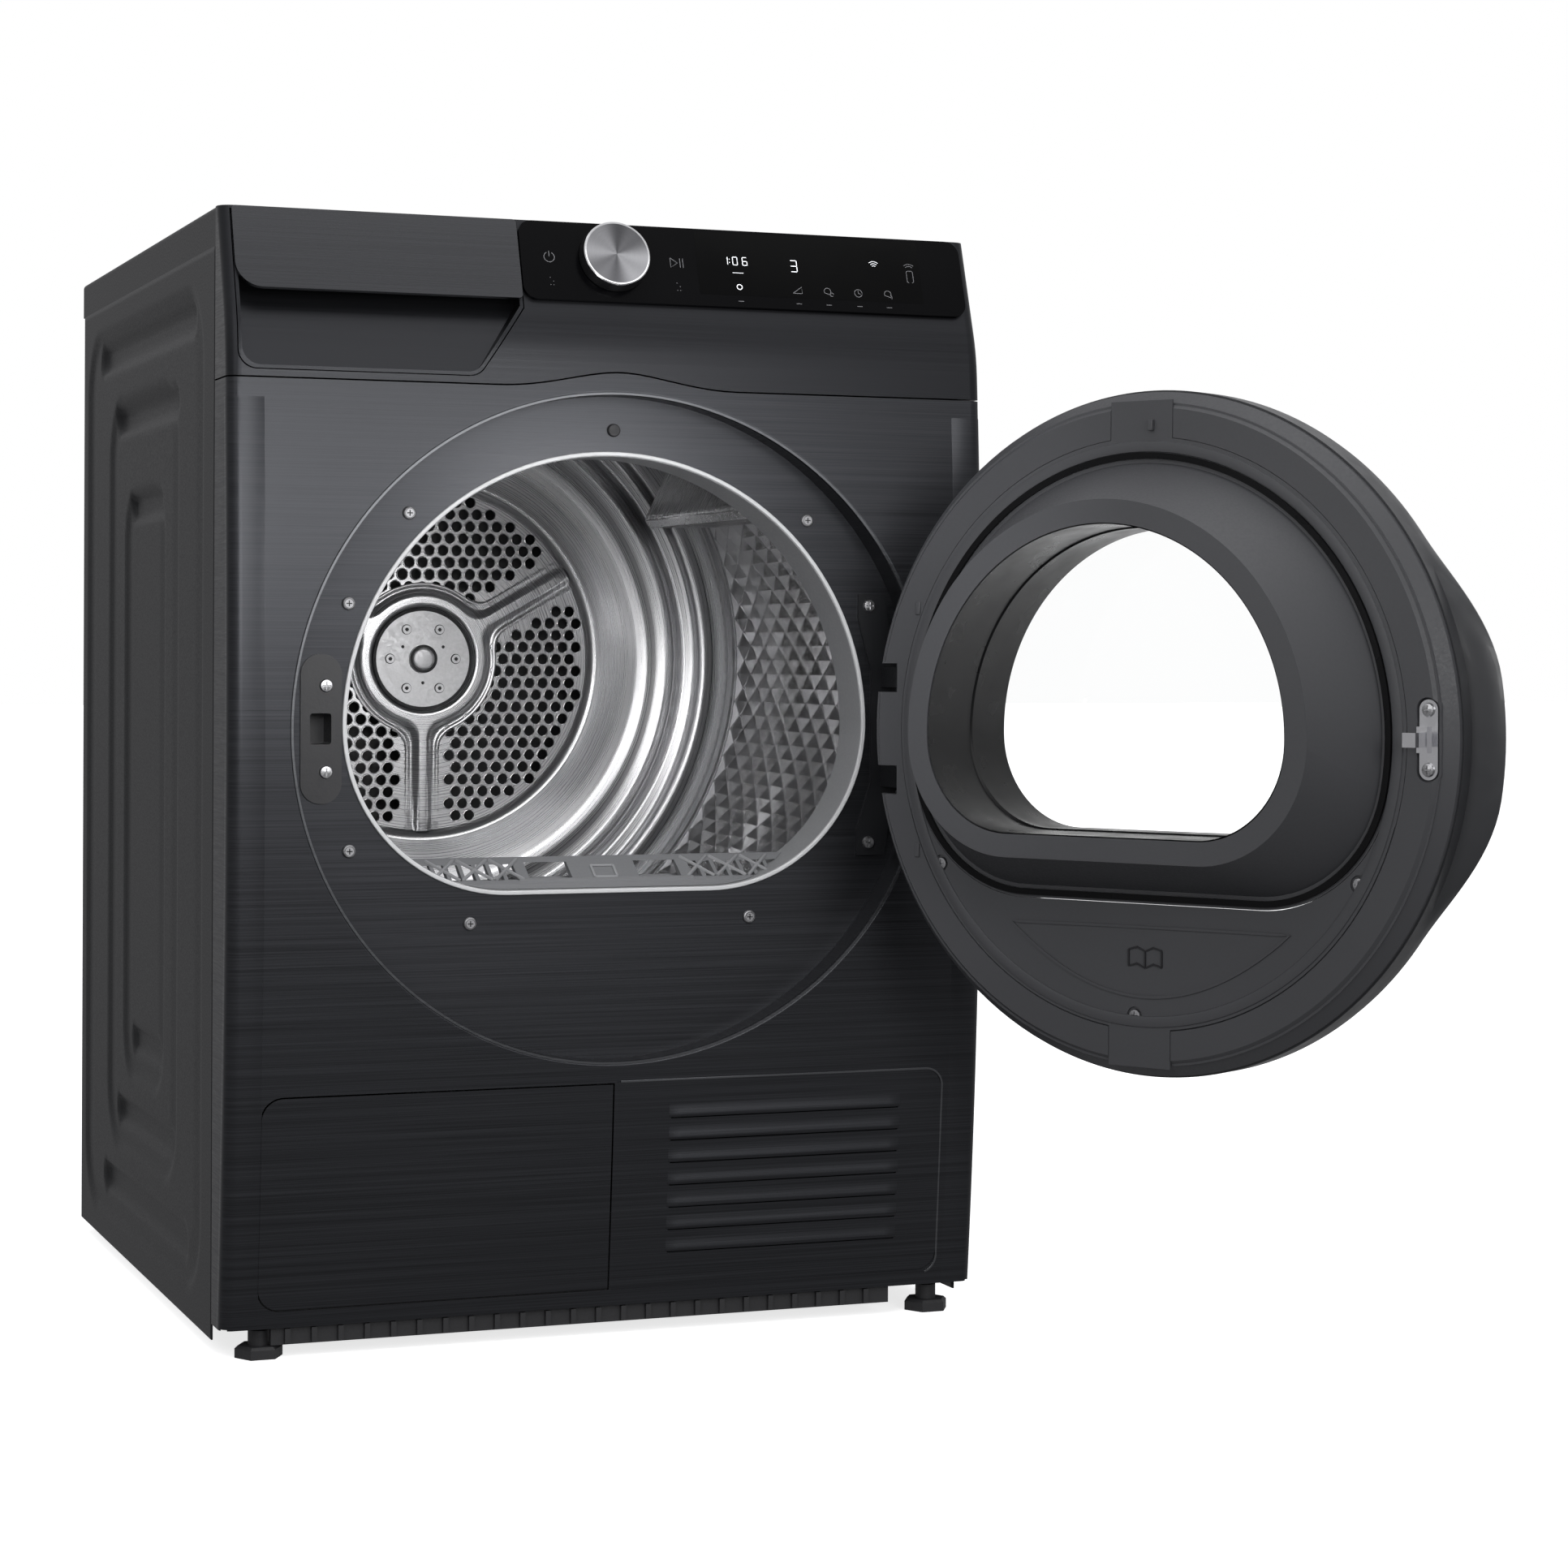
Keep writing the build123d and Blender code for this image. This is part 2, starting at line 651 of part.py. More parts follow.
def filter_half():
    """Half the width of the lint filter's body."""
    return 70.0


def porthole_bezel():
    """Bright rim round the door opening."""
    ring = slab(port_face(bezel_width) - port_face(0.4), recess_y - bezel_height, recess_y)
    front = [e for e in ring.faces().sort_by(Axis.Y)[0].edges()]
    return fillet(front, 0.9)


def lint_filter():
    """Lift-out filter: a sloped grille with two hand openings over a mesh box."""
    y0 = recess_y + 3.5 + tunnel_wall + 0.5
    y1 = tunnel_back_y - 3 - tunnel_wall - 0.5
    half = filter_half()
    floor_z = port_z - port_drop
    box = block(-half, half, y0, y1, 215, floor_z - 1)
    box -= block(-half + 2, half - 2, y0 + 2, y1 - 2, 217, floor_z + 50)
    for column in range(10):
        x = -half + 10 + column * 13
        box -= block(x, x + 9, y0 - 5, y1 + 5, 225, floor_z - 14)
    top_z = floor_z + 23
    ramp = [(recess_y + 5, floor_z + 0.4), (recess_y + 5, floor_z + 4.5), (y1 + 3, top_z),
            (y1 + 3, top_z - 4), (y0 + 6, floor_z + 3)]
    face = extrude(Plane.YZ * make_face(Polyline(*ramp, close=True)), 175, both=True)
    inside = slab(port_face(-0.4), recess_y, tunnel_back_y + 5)
    grille = face & inside
    for sign in (-1, 1):
        for column in range(9):
            x = sign * (74 + column * 11)
            grille -= block(x - 4, x + 4, recess_y - 1, tunnel_back_y, floor_z + 7, top_z - 5)
        grille -= block(sign * 44 - 17, sign * 44 + 17, recess_y - 1, tunnel_back_y, floor_z + 6, top_z - 4)
    neck = block(-half, half, y0, y1, floor_z - 1, floor_z + 8)
    neck -= block(-half + 2, half - 2, y0 + 2, y1 - 2, floor_z - 5, floor_z + 20)
    return box + grille + neck


def catch_plate():
    """Dark plate and housing of the door catch, with the hole for the hook."""
    outline = Pos(-225.6, door_z) * RectangleRounded(31, 111, 15)
    plate = slab(outline, recess_y - 1.5, recess_y)
    housing = slab(Pos(-latch_x, door_z) * RectangleRounded(26, 46, 3), recess_y + sheet, recess_y + 26)
    neck = slab(catch_slot(0.8), recess_y - 0.5, recess_y + sheet + 1)
    hole = slab(catch_slot(), recess_y - 3, recess_y + 23)
    body = plate + housing + neck - hole
    for z in (door_z + 32, door_z - 32):
        body -= rod_y(-latch_x + 4, z, 2.2, recess_y - 3, recess_y + 30)
    return body


def front_screws():
    """Screws round the opening, on the catch and on the hinge plate, and one round plug."""
    group = Compound(children=[screw(x, z, recess_y) for x, z in ring_screw_places()])
    catch = [screw(-latch_x + 4, z, recess_y - 1.5) for z in (door_z + 32, door_z - 32)]
    hinge = [screw(212, z, recess_y - 2.0) for z in (door_z + 95, door_z - 91)]
    plug = rod_y(1, 690, 4.5, recess_y - 1.2, recess_y)
    return Compound(children=list(group.solids()) + [s.solid() for s in catch + hinge] + [plug.solid()])


def hinge_bracket():
    """Cabinet half of the hinge: a plate with two knuckles on short arms."""
    plate = slab(hinge_plate_face(), recess_y - 2.0, recess_y)
    for z in (door_z + 95, door_z - 91):
        plate -= rod_y(212, z, 2.2, recess_y - 5, recess_y + 5)
    for sign in (-1, 1):
        z = door_z + sign * knuckle_offset
        z0, z1 = z - knuckle_height / 2, z + knuckle_height / 2
        arm = [(222, recess_y - 1), (230, recess_y - 1), (hinge_x + 4, hinge_y + 10),
               (hinge_x + knuckle_radius, hinge_y), (hinge_x - knuckle_radius, hinge_y), (224, hinge_y + 16)]
        plate += Pos(0, 0, z0) * extrude(make_face(Polyline(*arm, close=True)), z1 - z0)
        plate += rod_z(hinge_x, hinge_y, knuckle_radius, z0, z1)
        plate -= rod_z(hinge_x, hinge_y, pin_radius + shaft_gap, z0 - 1, z1 + 1)
    return plate


# ---------------------------------------------------------------- drum
def drum_shell():
    """Drum wall with a turned-in front edge and two stiffening beads."""
    r = drum_radius
    t = drum_sheet
    y0, y1 = drum_front_y, drum_seam_y
    outline = [(drum_neck, y0), (r - 4, y0), (r + t, y0 + 5), (r + t, y1), (r, y1), (r, y0 + 6),
               (r - 5, y0 + t), (drum_neck, y0 + t)]
    return turned(outline, 0, drum_z)


def spoke_angles():
    """Directions of the three spokes of the drum back."""
    return (30.0, 150.0, 270.0)


def hole_places():
    """Centres of the round holes between the spokes, on a hexagonal grid."""
    places = []
    row_step = hole_pitch * math.sin(math.radians(60))
    reach = int(hole_zone_out / row_step) + 1
    for row in range(-reach, reach + 1):
        for column in range(-reach - 8, reach + 9):
            x = (column + 0.5 * (row % 2)) * hole_pitch
            z = row * row_step
            radius = math.hypot(x, z)
            clear = True
            for angle in spoke_angles():
                a = math.radians(angle)
                along = x * math.cos(a) + z * math.sin(a)
                across = abs(-x * math.sin(a) + z * math.cos(a))
                if along > 0 and across < spoke_half + hole_radius:
                    clear = False
            if clear and hole_zone_in < radius < hole_zone_out - hole_radius:
                places.append((x, z))
    return places


def drum_back():
    """Deep-drawn drum back: perforated middle, ring beads and a rim over the wall's end."""
    t = drum_sheet
    r = drum_radius
    y = drum_back_y
    front = [(shaft_radius + 6, y), (160, y), (166, y - 5), (178, y - 5), (186, y + 2), (214, y + 2),
             (222, y - 8), (246, y - 8), (254, y), (266, y - 6), (r - 8, y - 12), (r, y - 26),
             (r, drum_seam_y)]
    back = [(radius + (t if radius > 254 else 0), depth_y + (t if radius <= 266 else 0.7 * t))
            for radius, depth_y in front[:-2]]
    back += [(r + t, y - 26), (r + t, drum_seam_y)]
    shell = turned(front + back[::-1], 0, drum_z)
    holes = [Pos(x, z + drum_z) * Circle(hole_radius) for x, z in hole_places()]
    cutter = slab(Sketch() + holes, y - 4, y + 4)
    return shell - cutter


def hub_plate():
    """Round plate that clamps the drum back to the shaft."""
    y = drum_back_y
    plate = rod_y(0, drum_z, hub_radius, y - 3, y)
    boss = rod_y(0, drum_z, 13, y - 6, y - 3)
    plate = plate + boss
    for index in range(6):
        a = math.radians(60 * index)
        plate += rod_y(hub_screw_circle * math.cos(a), drum_z + hub_screw_circle * math.sin(a), 4.0,
                       y - 4.6, y - 3)
    return plate


def drum_shaft():
    """Stub shaft with its flange behind the drum back."""
    y = drum_back_y
    shaft = rod_y(0, drum_z, shaft_radius, y, rear_y - 2)
    return shaft + rod_y(0, drum_z, shaft_radius + 5.8, y, y + drum_sheet) + tube_y(
        0, drum_z, 40, shaft_radius - 1, y + drum_sheet, y + 5)


def drum_lifters():
    """Three hollow paddles that lift the laundry."""
    y0, y1 = -75.0, 185.0
    r = drum_radius
    crest = r - lifter_height
    paddles = []
    for index in range(3):
        seat = math.sqrt((r - 0.2) ** 2 - lifter_half ** 2)
        bulge = r - 0.2
        edges = [
            ThreePointArc((seat, -lifter_half), (bulge, 0), (seat, lifter_half)),
            Line((seat, lifter_half), (crest + 6, 8)),
            ThreePointArc((crest + 6, 8), (crest, 0), (crest + 6, -8)),
            Line((crest + 6, -8), (seat, -lifter_half)),
        ]
        face = make_face(edges)
        turn = Rot(0, 0, lifter_angle + 120 * index)
        paddle = slab(Pos(0, drum_z) * turn * face, y0, y1)
        paddles.append(paddle.solid())
    return Compound(children=paddles)


def drum_seals():
    """Felt rings that the drum turns against, front and rear."""
    front = tube_y(0, drum_z, 280, 266, tunnel_back_y + sheet, drum_front_y - running_gap)
    rear = tube_y(0, drum_z, 210, 192, drum_back_y + 2 + drum_sheet + running_gap, drum_back_y + 14)
    return Compound(children=[front.solid(), rear.solid()])


# ---------------------------------------------------------------- rear structure
def rear_duct():
    """Air duct that feeds the back of the drum from the fan channel."""
    y0, y1 = drum_back_y + 14, rear_y
    ring = rod_y(0, drum_z, 214, y0, y1) + block(30, 112, y0, y1, 100, drum_z)
    hollow = rod_y(0, drum_z, 214 - plastic, y0 + plastic, y1 - plastic)
    hollow += block(32.5, 109.5, y0 + plastic, y1 - plastic, 102.5, drum_z)
    mouth = rod_y(0, drum_z, 186, y0 - 1, y0 + 5)
    inlet = block(37, 103, y0 - 1, y0 + 5, 145, 205)
    middle = rod_y(0, drum_z, 52.5, y0 - 1, y1 + 1)
    return ring - hollow - mouth - inlet - middle


def bearing_housing():
    """Pressed housing on the rear panel that holds the drum bearing."""
    y0 = rear_y - 26
    cup = tube_y(0, drum_z, 30, 21, y0, rear_y)
    flange = tube_y(0, drum_z, 52, 29, rear_y - 3, rear_y)
    return cup + flange


def shaft_bearing():
    """Plain bearing for the drum shaft."""
    return tube_y(0, drum_z, 21, shaft_radius + shaft_gap, rear_y - 24, rear_y - 6)


# ---------------------------------------------------------------- base and heat pump
def base_tray():
    """Moulded base with a ribbed front edge, dividing wall and corner blocks for the feet."""
    y0, y1 = front_y + 24, rear_y
    half = 292.0
    z0, z1 = tray_z, tray_z + tray_height
    tray = block(-half, half, y0, y1, z0, z1) - block(
        -half + tray_wall, half - tray_wall, y0 + tray_wall, y1 - tray_wall, z0 + tray_wall, z1 + 1)
    tray -= block(exchanger_left - 8, exchanger_right + 8, y0 - 1, y0 + tray_wall + 1,
                  exchanger_low - 6, z1 + 1)
    for y in (-232, -60, 120):
        tray += block(exchanger_left + 20, exchanger_right - 20, y - 4, y + 4, z0 + 1, exchanger_low - 3)
    full = width / 2 - sheet
    tray += block(-full, full, seam_y + 2, y1, z0, z0 + 6) - block(
        -half + 1, half - 1, seam_y, y1 - 1, z0 + tray_wall, z0 + 10)
    tray += block(-262, 230, y0 + 2, y0 + 8, 10, z0)
    for column in range(24):
        x = -252 + column * 20
        tray += block(x, x + 4, y0 - 1, y0 + 2, 11, z0 - 2)
    for x in (-foot_x, foot_x):
        for y in (foot_front_y, foot_back_y):
            tray += block(x - 15, x + 15, y - 14, y + 14, z0, z0 + 24)
            tray -= rod_z(x, y, foot_thread + shaft_gap, z0 - 10, z0 + 20)
    return tray


def foot(x, y):
    """Hexagonal levelling foot on a threaded stem."""
    pad = Pos(x, y, 0) * extrude(RegularPolygon(foot_radius, 6), 9)
    top = [e for e in pad.edges().filter_by(Plane.XY) if e.center().Z > 8]
    pad = chamfer(top, 2)
    neck = rod_z(x, y, 8, 9, tray_z - 4)
    return pad + neck + rod_z(x, y, foot_thread, tray_z - 4, tray_z + 18)


def heat_exchanger_housing():
    """Box round both heat exchangers, open at the front and at the rear."""
    x0, x1, z0, z1 = exchanger_left, exchanger_right, exchanger_low, exchanger_high
    y0, y1 = front_y + 38, 150.0
    box = block(x0, x1, y0, y1, z0 - 3, z1) - block(x0 + 3, x1 - 3, y0 - 1, y1 + 1, z0, z1 - 3)
    box -= block(tunnel_wall - 150, x1 - 4, recess_y + 6.5, tunnel_back_y - 6, z1 - 5, z1 + 1)
    for y in (evaporator_y, condenser_y):
        box -= Pos(x1, y, pipe_z) * Rot(0, 90, 0) * Cylinder(pipe_radius + 0.4, 20)
    return box


def heat_exchanger_lid():
    """Clip-on lid with a grip bar that closes the front of the heat-exchanger box."""
    y1 = front_y + 38
    x0, x1, z0, z1 = exchanger_left, exchanger_right, exchanger_low, exchanger_high
    lid = block(x0, x1, y1 - 5, y1, z0 - 3, z1) + block(x0 + 3.3, x1 - 3.3, y1, y1 + 12, z0 + 0.3, z1 - 3.3)
    lid -= block(x0 + 6, x1 - 6, y1 - 2.5, y1 + 13, z0 + 3, z1 - 6)
    for x in (x0 + 26, x1 - 26):
        lid += rod_y(x, 118, 11, y1 - 9, y1 - 5)
    return lid


def fin_pack(y0, y1):
    """Aluminium fins on copper tubes between two end plates."""
    x0, x1 = exchanger_left + 3.2, exchanger_right - 3.2
    z0, z1 = exchanger_low, exchanger_high - 3.2
    pack = block(x0, x0 + 3, y0, y1, z0, z1) + block(x1 - 3, x1, y0, y1, z0, z1)
    for column in range(20):
        x = x0 + 8 + column * (x1 - x0 - 17) / 19
        pack += block(x, x + 1, y0 + 2, y1 - 2, z0 + 2, z1 - 2)
    for row in range(4):
        for line in range(2):
            y = y0 + (y1 - y0) * (0.28 + 0.44 * line)
            z = z0 + 22 + row * (z1 - z0 - 44) / 3
            pack += Pos((x0 + x1) / 2, y, z) * Rot(0, 90, 0) * Cylinder(4, x1 - x0 - 1)
    return pack


def evaporator():
    """Cold heat exchanger, behind the lid."""
    return fin_pack(evaporator_y - 45, evaporator_y + 45)


def condenser():
    """Warm heat exchanger, behind the evaporator."""
    return fin_pack(condenser_y - 65, condenser_y + 65)


def compressor():
    """Sealed compressor on three rubber-footed lugs."""
    x, y = compressor_x, compressor_y
    can = rod_z(x, y, compressor_radius, tray_z + tray_wall + 14, 196)
    ends = [e for e in can.edges() if e.length > 100]
    can = fillet(ends, 22)
    for index in range(3):
        a = math.radians(90 + 120 * index)
        px, py = x + 74 * math.cos(a), y + 74 * math.sin(a)
        can += rod_z(px, py, 12, tray_z + tray_wall + 10, tray_z + tray_wall + 16)
        lug_z = tray_z + tray_wall + 15
        can += Pos((x + px) / 2, (y + py) / 2, lug_z) * Rot(0, 0, 90 + 120 * index) * Box(60, 24, 4)
        can += rod_z(px, py, 9, tray_z + tray_wall, tray_z + tray_wall + 10)
    return can


def refrigerant_pipes():
    """Copper pipes from the compressor to the two heat exchangers."""
    x, y = compressor_x, compressor_y
    x_end = exchanger_right - 3.2
    z = 216.0
    body = Part()
    for dx, dy, end_y in ((25, 0, condenser_y), (-30, 20, evaporator_y)):
        route = [(x + dx, y + dy, 196), (x + dx, y + dy, z), (-12, 60 + dy, z), (-12, end_y, z),
                 (-12, end_y, pipe_z), (x_end, end_y, pipe_z)]
        path = FilletPolyline(*route, radius=9)
        body += sweep(Plane(path @ 0, z_dir=path % 0) * Circle(pipe_radius), path)
        body += rod_z(x + dx, y + dy, pipe_radius + 2, 196, 202)
    return Compound(children=[solid for solid in body.solids()])


def motor():
    """Drive motor held in its cradle."""
    y0, y1 = motor_front_y, motor_front_y + motor_length
    can = tube_y(axis_x, axis_z, motor_radius, 50, y0 + 6, y1 - 6)
    can += tube_y(axis_x, axis_z, motor_radius, 5 + shaft_gap, y0, y0 + 6)
    can += tube_y(axis_x, axis_z, motor_radius, 5 + shaft_gap, y1 - 6, y1)
    cradle = block(axis_x - 50, axis_x + 50, y0 + 20, y1 - 20, tray_z + tray_wall, axis_z - 20)
    cradle -= rod_y(axis_x, axis_z, motor_radius - 1, y0, y1)
    return can + cradle


def motor_rotor():
    """Motor spindle with its belt pulley and winding core."""
    y0, y1 = belt_y - belt_width / 2 - 4, fan_y + fan_width / 2
    spindle = rod_y(axis_x, axis_z, 5, y0, y1)
    half = belt_width / 2 + 1
    pulley = tube_y(axis_x, axis_z, pulley_radius, 4.9, belt_y - half, belt_y + half)
    core = rod_y(axis_x, axis_z, 32, motor_front_y + 14, motor_front_y + motor_length - 14)
    return spindle + pulley + core


def fan_impeller():
    """Radial fan wheel on the motor's rear end."""
    y0, y1 = fan_y - fan_width / 2, fan_y + fan_width / 2
    wheel = tube_y(axis_x, axis_z, fan_radius, 5, y1 - 3, y1) + tube_y(axis_x, axis_z, 12, 5, y0 + 4, y1)
    wheel += tube_y(axis_x, axis_z, fan_radius, fan_radius - 14, y0, y0 + 2)
    middle = Pos(axis_x, axis_z)
    for index in range(18):
        blade = Rot(0, 0, 20 * index) * Pos(fan_radius - 9, 0) * Rot(0, 0, 35) * Rectangle(16, 1.6)
        wheel += slab(middle * (blade & Circle(fan_radius)), y0, y1)
    return wheel


def fan_housing():
    """Fan scroll with the channel that leads its air back to the rear duct."""
    y0, y1 = fan_y - fan_width / 2 - 5, fan_y + fan_width / 2 + 6
    radius = fan_radius + 10
    low = tray_z + tray_wall
    duct_back = drum_back_y + 14
    outer = rod_y(axis_x, axis_z, radius, y0, y1) + block(35, 105, y0, duct_back, 143, 207)
    inner = rod_y(axis_x, axis_z, radius - 2.5, y0 + 2.5, y1 - 2.5)
    inner += block(37.5, 102.5, y0 + 2.5, duct_back + 1, 145.5, 204.5)
    body = outer - inner - rod_y(axis_x, axis_z, 40, y0 - 1, y0 + 4)
    stand = block(axis_x - 40, axis_x + 40, y0 + 3, y1 - 3, low, axis_z - 60)
    stand -= rod_y(axis_x, axis_z, radius - 1, y0, y1)
    return body + stand


def belt_loop(big, small):
    """Outline of a loop drawn tight round the drum and the motor pulley."""
    dx, dz = axis_x, axis_z - drum_z
    span = math.hypot(dx, dz)
    heading = math.atan2(dz, dx)
    spread = math.acos((big - small) / span)
    ends = []
    for sign in (1, -1):
        a = heading + sign * spread
        ends.append((big * math.cos(a), drum_z + big * math.sin(a)))
        ends.append((axis_x + small * math.cos(a), axis_z + small * math.sin(a)))
    left_big, left_small, right_big, right_small = ends
    far = heading + math.pi
    foot_point = (axis_x + small * math.cos(heading), axis_z + small * math.sin(heading))
    edges = [
        Line(left_big, left_small),
        ThreePointArc(left_small, foot_point, right_small),
        Line(right_small, right_big),
        ThreePointArc(right_big, (big * math.cos(far), drum_z + big * math.sin(far)), left_big),
    ]
    return make_face(edges)


def drive_belt():
    """Ribbed belt round the drum and the motor pulley."""
    big = drum_radius + drum_sheet + running_gap
    small = pulley_radius + running_gap
    ring = belt_loop(big + belt_thick, small + belt_thick) - belt_loop(big, small)
    return slab(ring, belt_y - belt_width / 2, belt_y + belt_width / 2)


def roller_centre(sign):
    """Middle of a drum support roller as (x, z)."""
    reach = drum_radius + drum_sheet + running_gap + roller_radius
    a = math.radians(roller_angle)
    return sign * reach * math.sin(a), drum_z - reach * math.cos(a)


def roller(sign):
    """Rubber-tyred roller under the drum's front edge."""
    x, z = roller_centre(sign)
    y0, y1 = roller_y - roller_width / 2, roller_y + roller_width / 2
    return tube_y(x, z, roller_radius, axle_radius + shaft_gap, y0, y1)


def drain_pump():
    """Pump that lifts the condensed water, with its hose up to the tank."""
    low = tray_z + tray_wall
    body = block(-262, -206, 215, 262, low, low + 34) + rod_z(-234, 238, 20, low + 34, low + 62)
    route = [(-234, 238, low + 60), (-234, 238, 130), (-270, 292, 190), (-270, 292, 720), (-262, 240, 788),
             (-240, 172, 800)]
    path = FilletPolyline(*route, radius=24)
    hose = sweep(Plane(path @ 0, z_dir=path % 0) * Circle(5), path)
    return body + hose


def power_inlet():
    """Mains inlet moulding on the back, with a capped drain spigot beside it."""
    y0 = rear_y
    box = block(-250, -202, y0 - 20, y0 + 6, 702, 740)
    flange = block(-258, -194, y0 + sheet, y0 + 4, 694, 748)
    socket = block(-238, -214, y0 - 10, y0 + 10, 712, 728)
    return box + flange - socket


# ---------------------------------------------------------------- door, drawn closed
def at_door(face):
    """Centre a face on the door's middle."""
    return Pos(0, door_z) * face


def window_face(grow=0.0):
    """Outline of the window in the door."""
    return at_door(d_face(window_radius, window_corner, window_drop, grow))


def base_face(grow=0.0):
    """Outline of the bulge where it rises from the door's inner face."""
    return at_door(d_face(base_radius, base_corner, base_drop, grow))


def knuckle_slots(grow=0.0):
    """Gaps in the door's edge for the hinge knuckles."""
    height_z = knuckle_height + 2 * (lug_gap + lug_height) + 2 * grow
    cutter = Part()
    for sign in (-1, 1):
        z = door_z + sign * knuckle_offset
        cutter += block(219, 262, door_front_y + 2.4, door_plane_y + 5, z - height_z / 2, z + height_z / 2)
    return cutter


def tab_face(sign, grow=0.0):
    """Tab that reaches over the frame at the top (+1) or the bottom (-1) of the door."""
    low, high = frame_seam - 8, tab_reach + grow
    z0, z1 = (door_z + low, door_z + high) if sign > 0 else (door_z - high, door_z - low)
    return Pos(0, (z0 + z1) / 2) * Rectangle(2 * (tab_half + grow), z1 - z0)


def door_frame():
    """Inner frame ring of the door."""
    y = door_plane_y
    outline = [(frame_seam, y), (frame_flat, y), (door_radius - 1.5, y - 13), (door_radius - 1.5, y - 17),
               (door_radius - 4, y - 17), (door_radius - 4.3, y - 13.5), (frame_flat - 1.5, y - 2.5),
               (frame_seam, y - 2.5)]
    ring = turned(outline, 0, door_z)
    seat = turned([(door_radius - 12, y - 2.5), (door_radius - 9.5, y - 2.5), (door_radius - 9.5, y - 40),
                   (door_radius - 12, y - 40)], 0, door_z)
    ring += seat & slab(at_door(Circle(400)), y - 24, y)
    for sign in (-1, 1):
        ring -= slab(tab_face(sign, 0.5), y - 1.6, y + 1)
    latch = at_door(Pos(-latch_x - 4, 0) * RectangleRounded(19, 62, 9))
    ring += slab(latch, y - 6.5, y - 2.4)
    ring -= slab(at_door(Pos(-latch_x - 4, 0) * RectangleRounded(16, 58, 7.9)), y - 4, y + 1)
    for z in latch_screw_heights():
        ring -= rod_y(-latch_x - 4, door_z + z, 2.2, y - 8, y)
    return swung(ring - knuckle_slots())


def door_bowl():
    """Bulge that reaches into the drum, its lip, and the short tunnel round the window."""
    y0, y1 = door_plane_y, door_plane_y + bulge_height
    lip = lambda grow: window_face(lip_width + grow)
    outer = loft([at_y(y0) * base_face(), at_y(y1) * lip(0.0)])
    inner = loft([at_y(y0 - 3) * base_face(-2.4), at_y(y1 - 3) * lip(-2.4)])
    plate = slab(at_door(Circle(frame_seam - 0.4)), y0 - 2.5, y0)
    plate -= slab(cover_face(0.4) + tab_face(-1, 0.4), y0 - 5, y0 + 1)
    body = outer + plate - inner
    body += slab(tab_face(1), y0 - 1.5, y0)
    tube = slab(window_face(2.4), door_front_y + 8, y1) - slab(window_face(), door_front_y, y1 + 1)
    return swung(body - slab(window_face(), y0 - 10, y1 + 1) + tube)


def cover_face(grow=0.0):
    """Crescent of the removable cover below the bulge."""
    disc = at_door(Circle(frame_seam - 0.9 + grow))
    keep = Pos(0, door_z - 200) * Rectangle(2 * frame_seam, 280)
    return (disc & keep) - at_door(d_face(base_radius, base_corner, base_drop, 10 - grow))


def door_cover():
    """Removable crescent cover with its screw seats."""
    y = door_plane_y
    plate = slab(cover_face(), y - 2.5, y) + slab(tab_face(-1), y - 1.5, y)
    for x, z in cover_screw_places():
        plate -= rod_y(x, door_z + z, 6.5, y - 1.5, y + 1)
        plate -= rod_y(x, door_z + z, 2.2, y - 5, y + 1)
    return swung(plate)


def cover_screw_places():
    """Screws of the door cover, from the door's middle."""
    return [(177, -101), (-178, -101), (4, -204)]


def latch_screw_heights():
    """Heights of the two latch screws from the door's middle."""
    return (-20.5, 20.5)


def door_screws():
    """Screws of the door cover and the latch plate."""
    parts = [screw(x, door_z + z, 0) for x, z in cover_screw_places()]
    seated = [turn_back(part, door_plane_y - 1.5) for part in parts]
    latch = [turn_back(screw(-latch_x - 4, door_z + z, 0), door_plane_y - 2.0)
             for z in latch_screw_heights()]
    return Compound(children=[swung(part).solid() for part in seated + latch])


def turn_back(part, y_seat):
    """Point a screw drawn at y = 0 the other way, with its head on the cabinet's side."""
    return Pos(0, y_seat, 0) * mirror(part, Plane.XZ)


def door_seal():
    """Rubber gasket round the foot of the bulge."""
    y = door_plane_y
    ring = slab(base_face(7.5) - base_face(3.0), y, y + 2.5)
    return swung(ring)


def door_glass():
    """Domed outer window."""
    y = door_front_y
    radius = frame_flat - 62
    dome = turned([(0, y - 7), (radius * 0.5, y - 5.4), (radius, y - 0.5), (radius, y + 3.5),
                   (radius * 0.5, y - 1.4), (0, y - 3)], 0, door_z)
    return swung(dome)


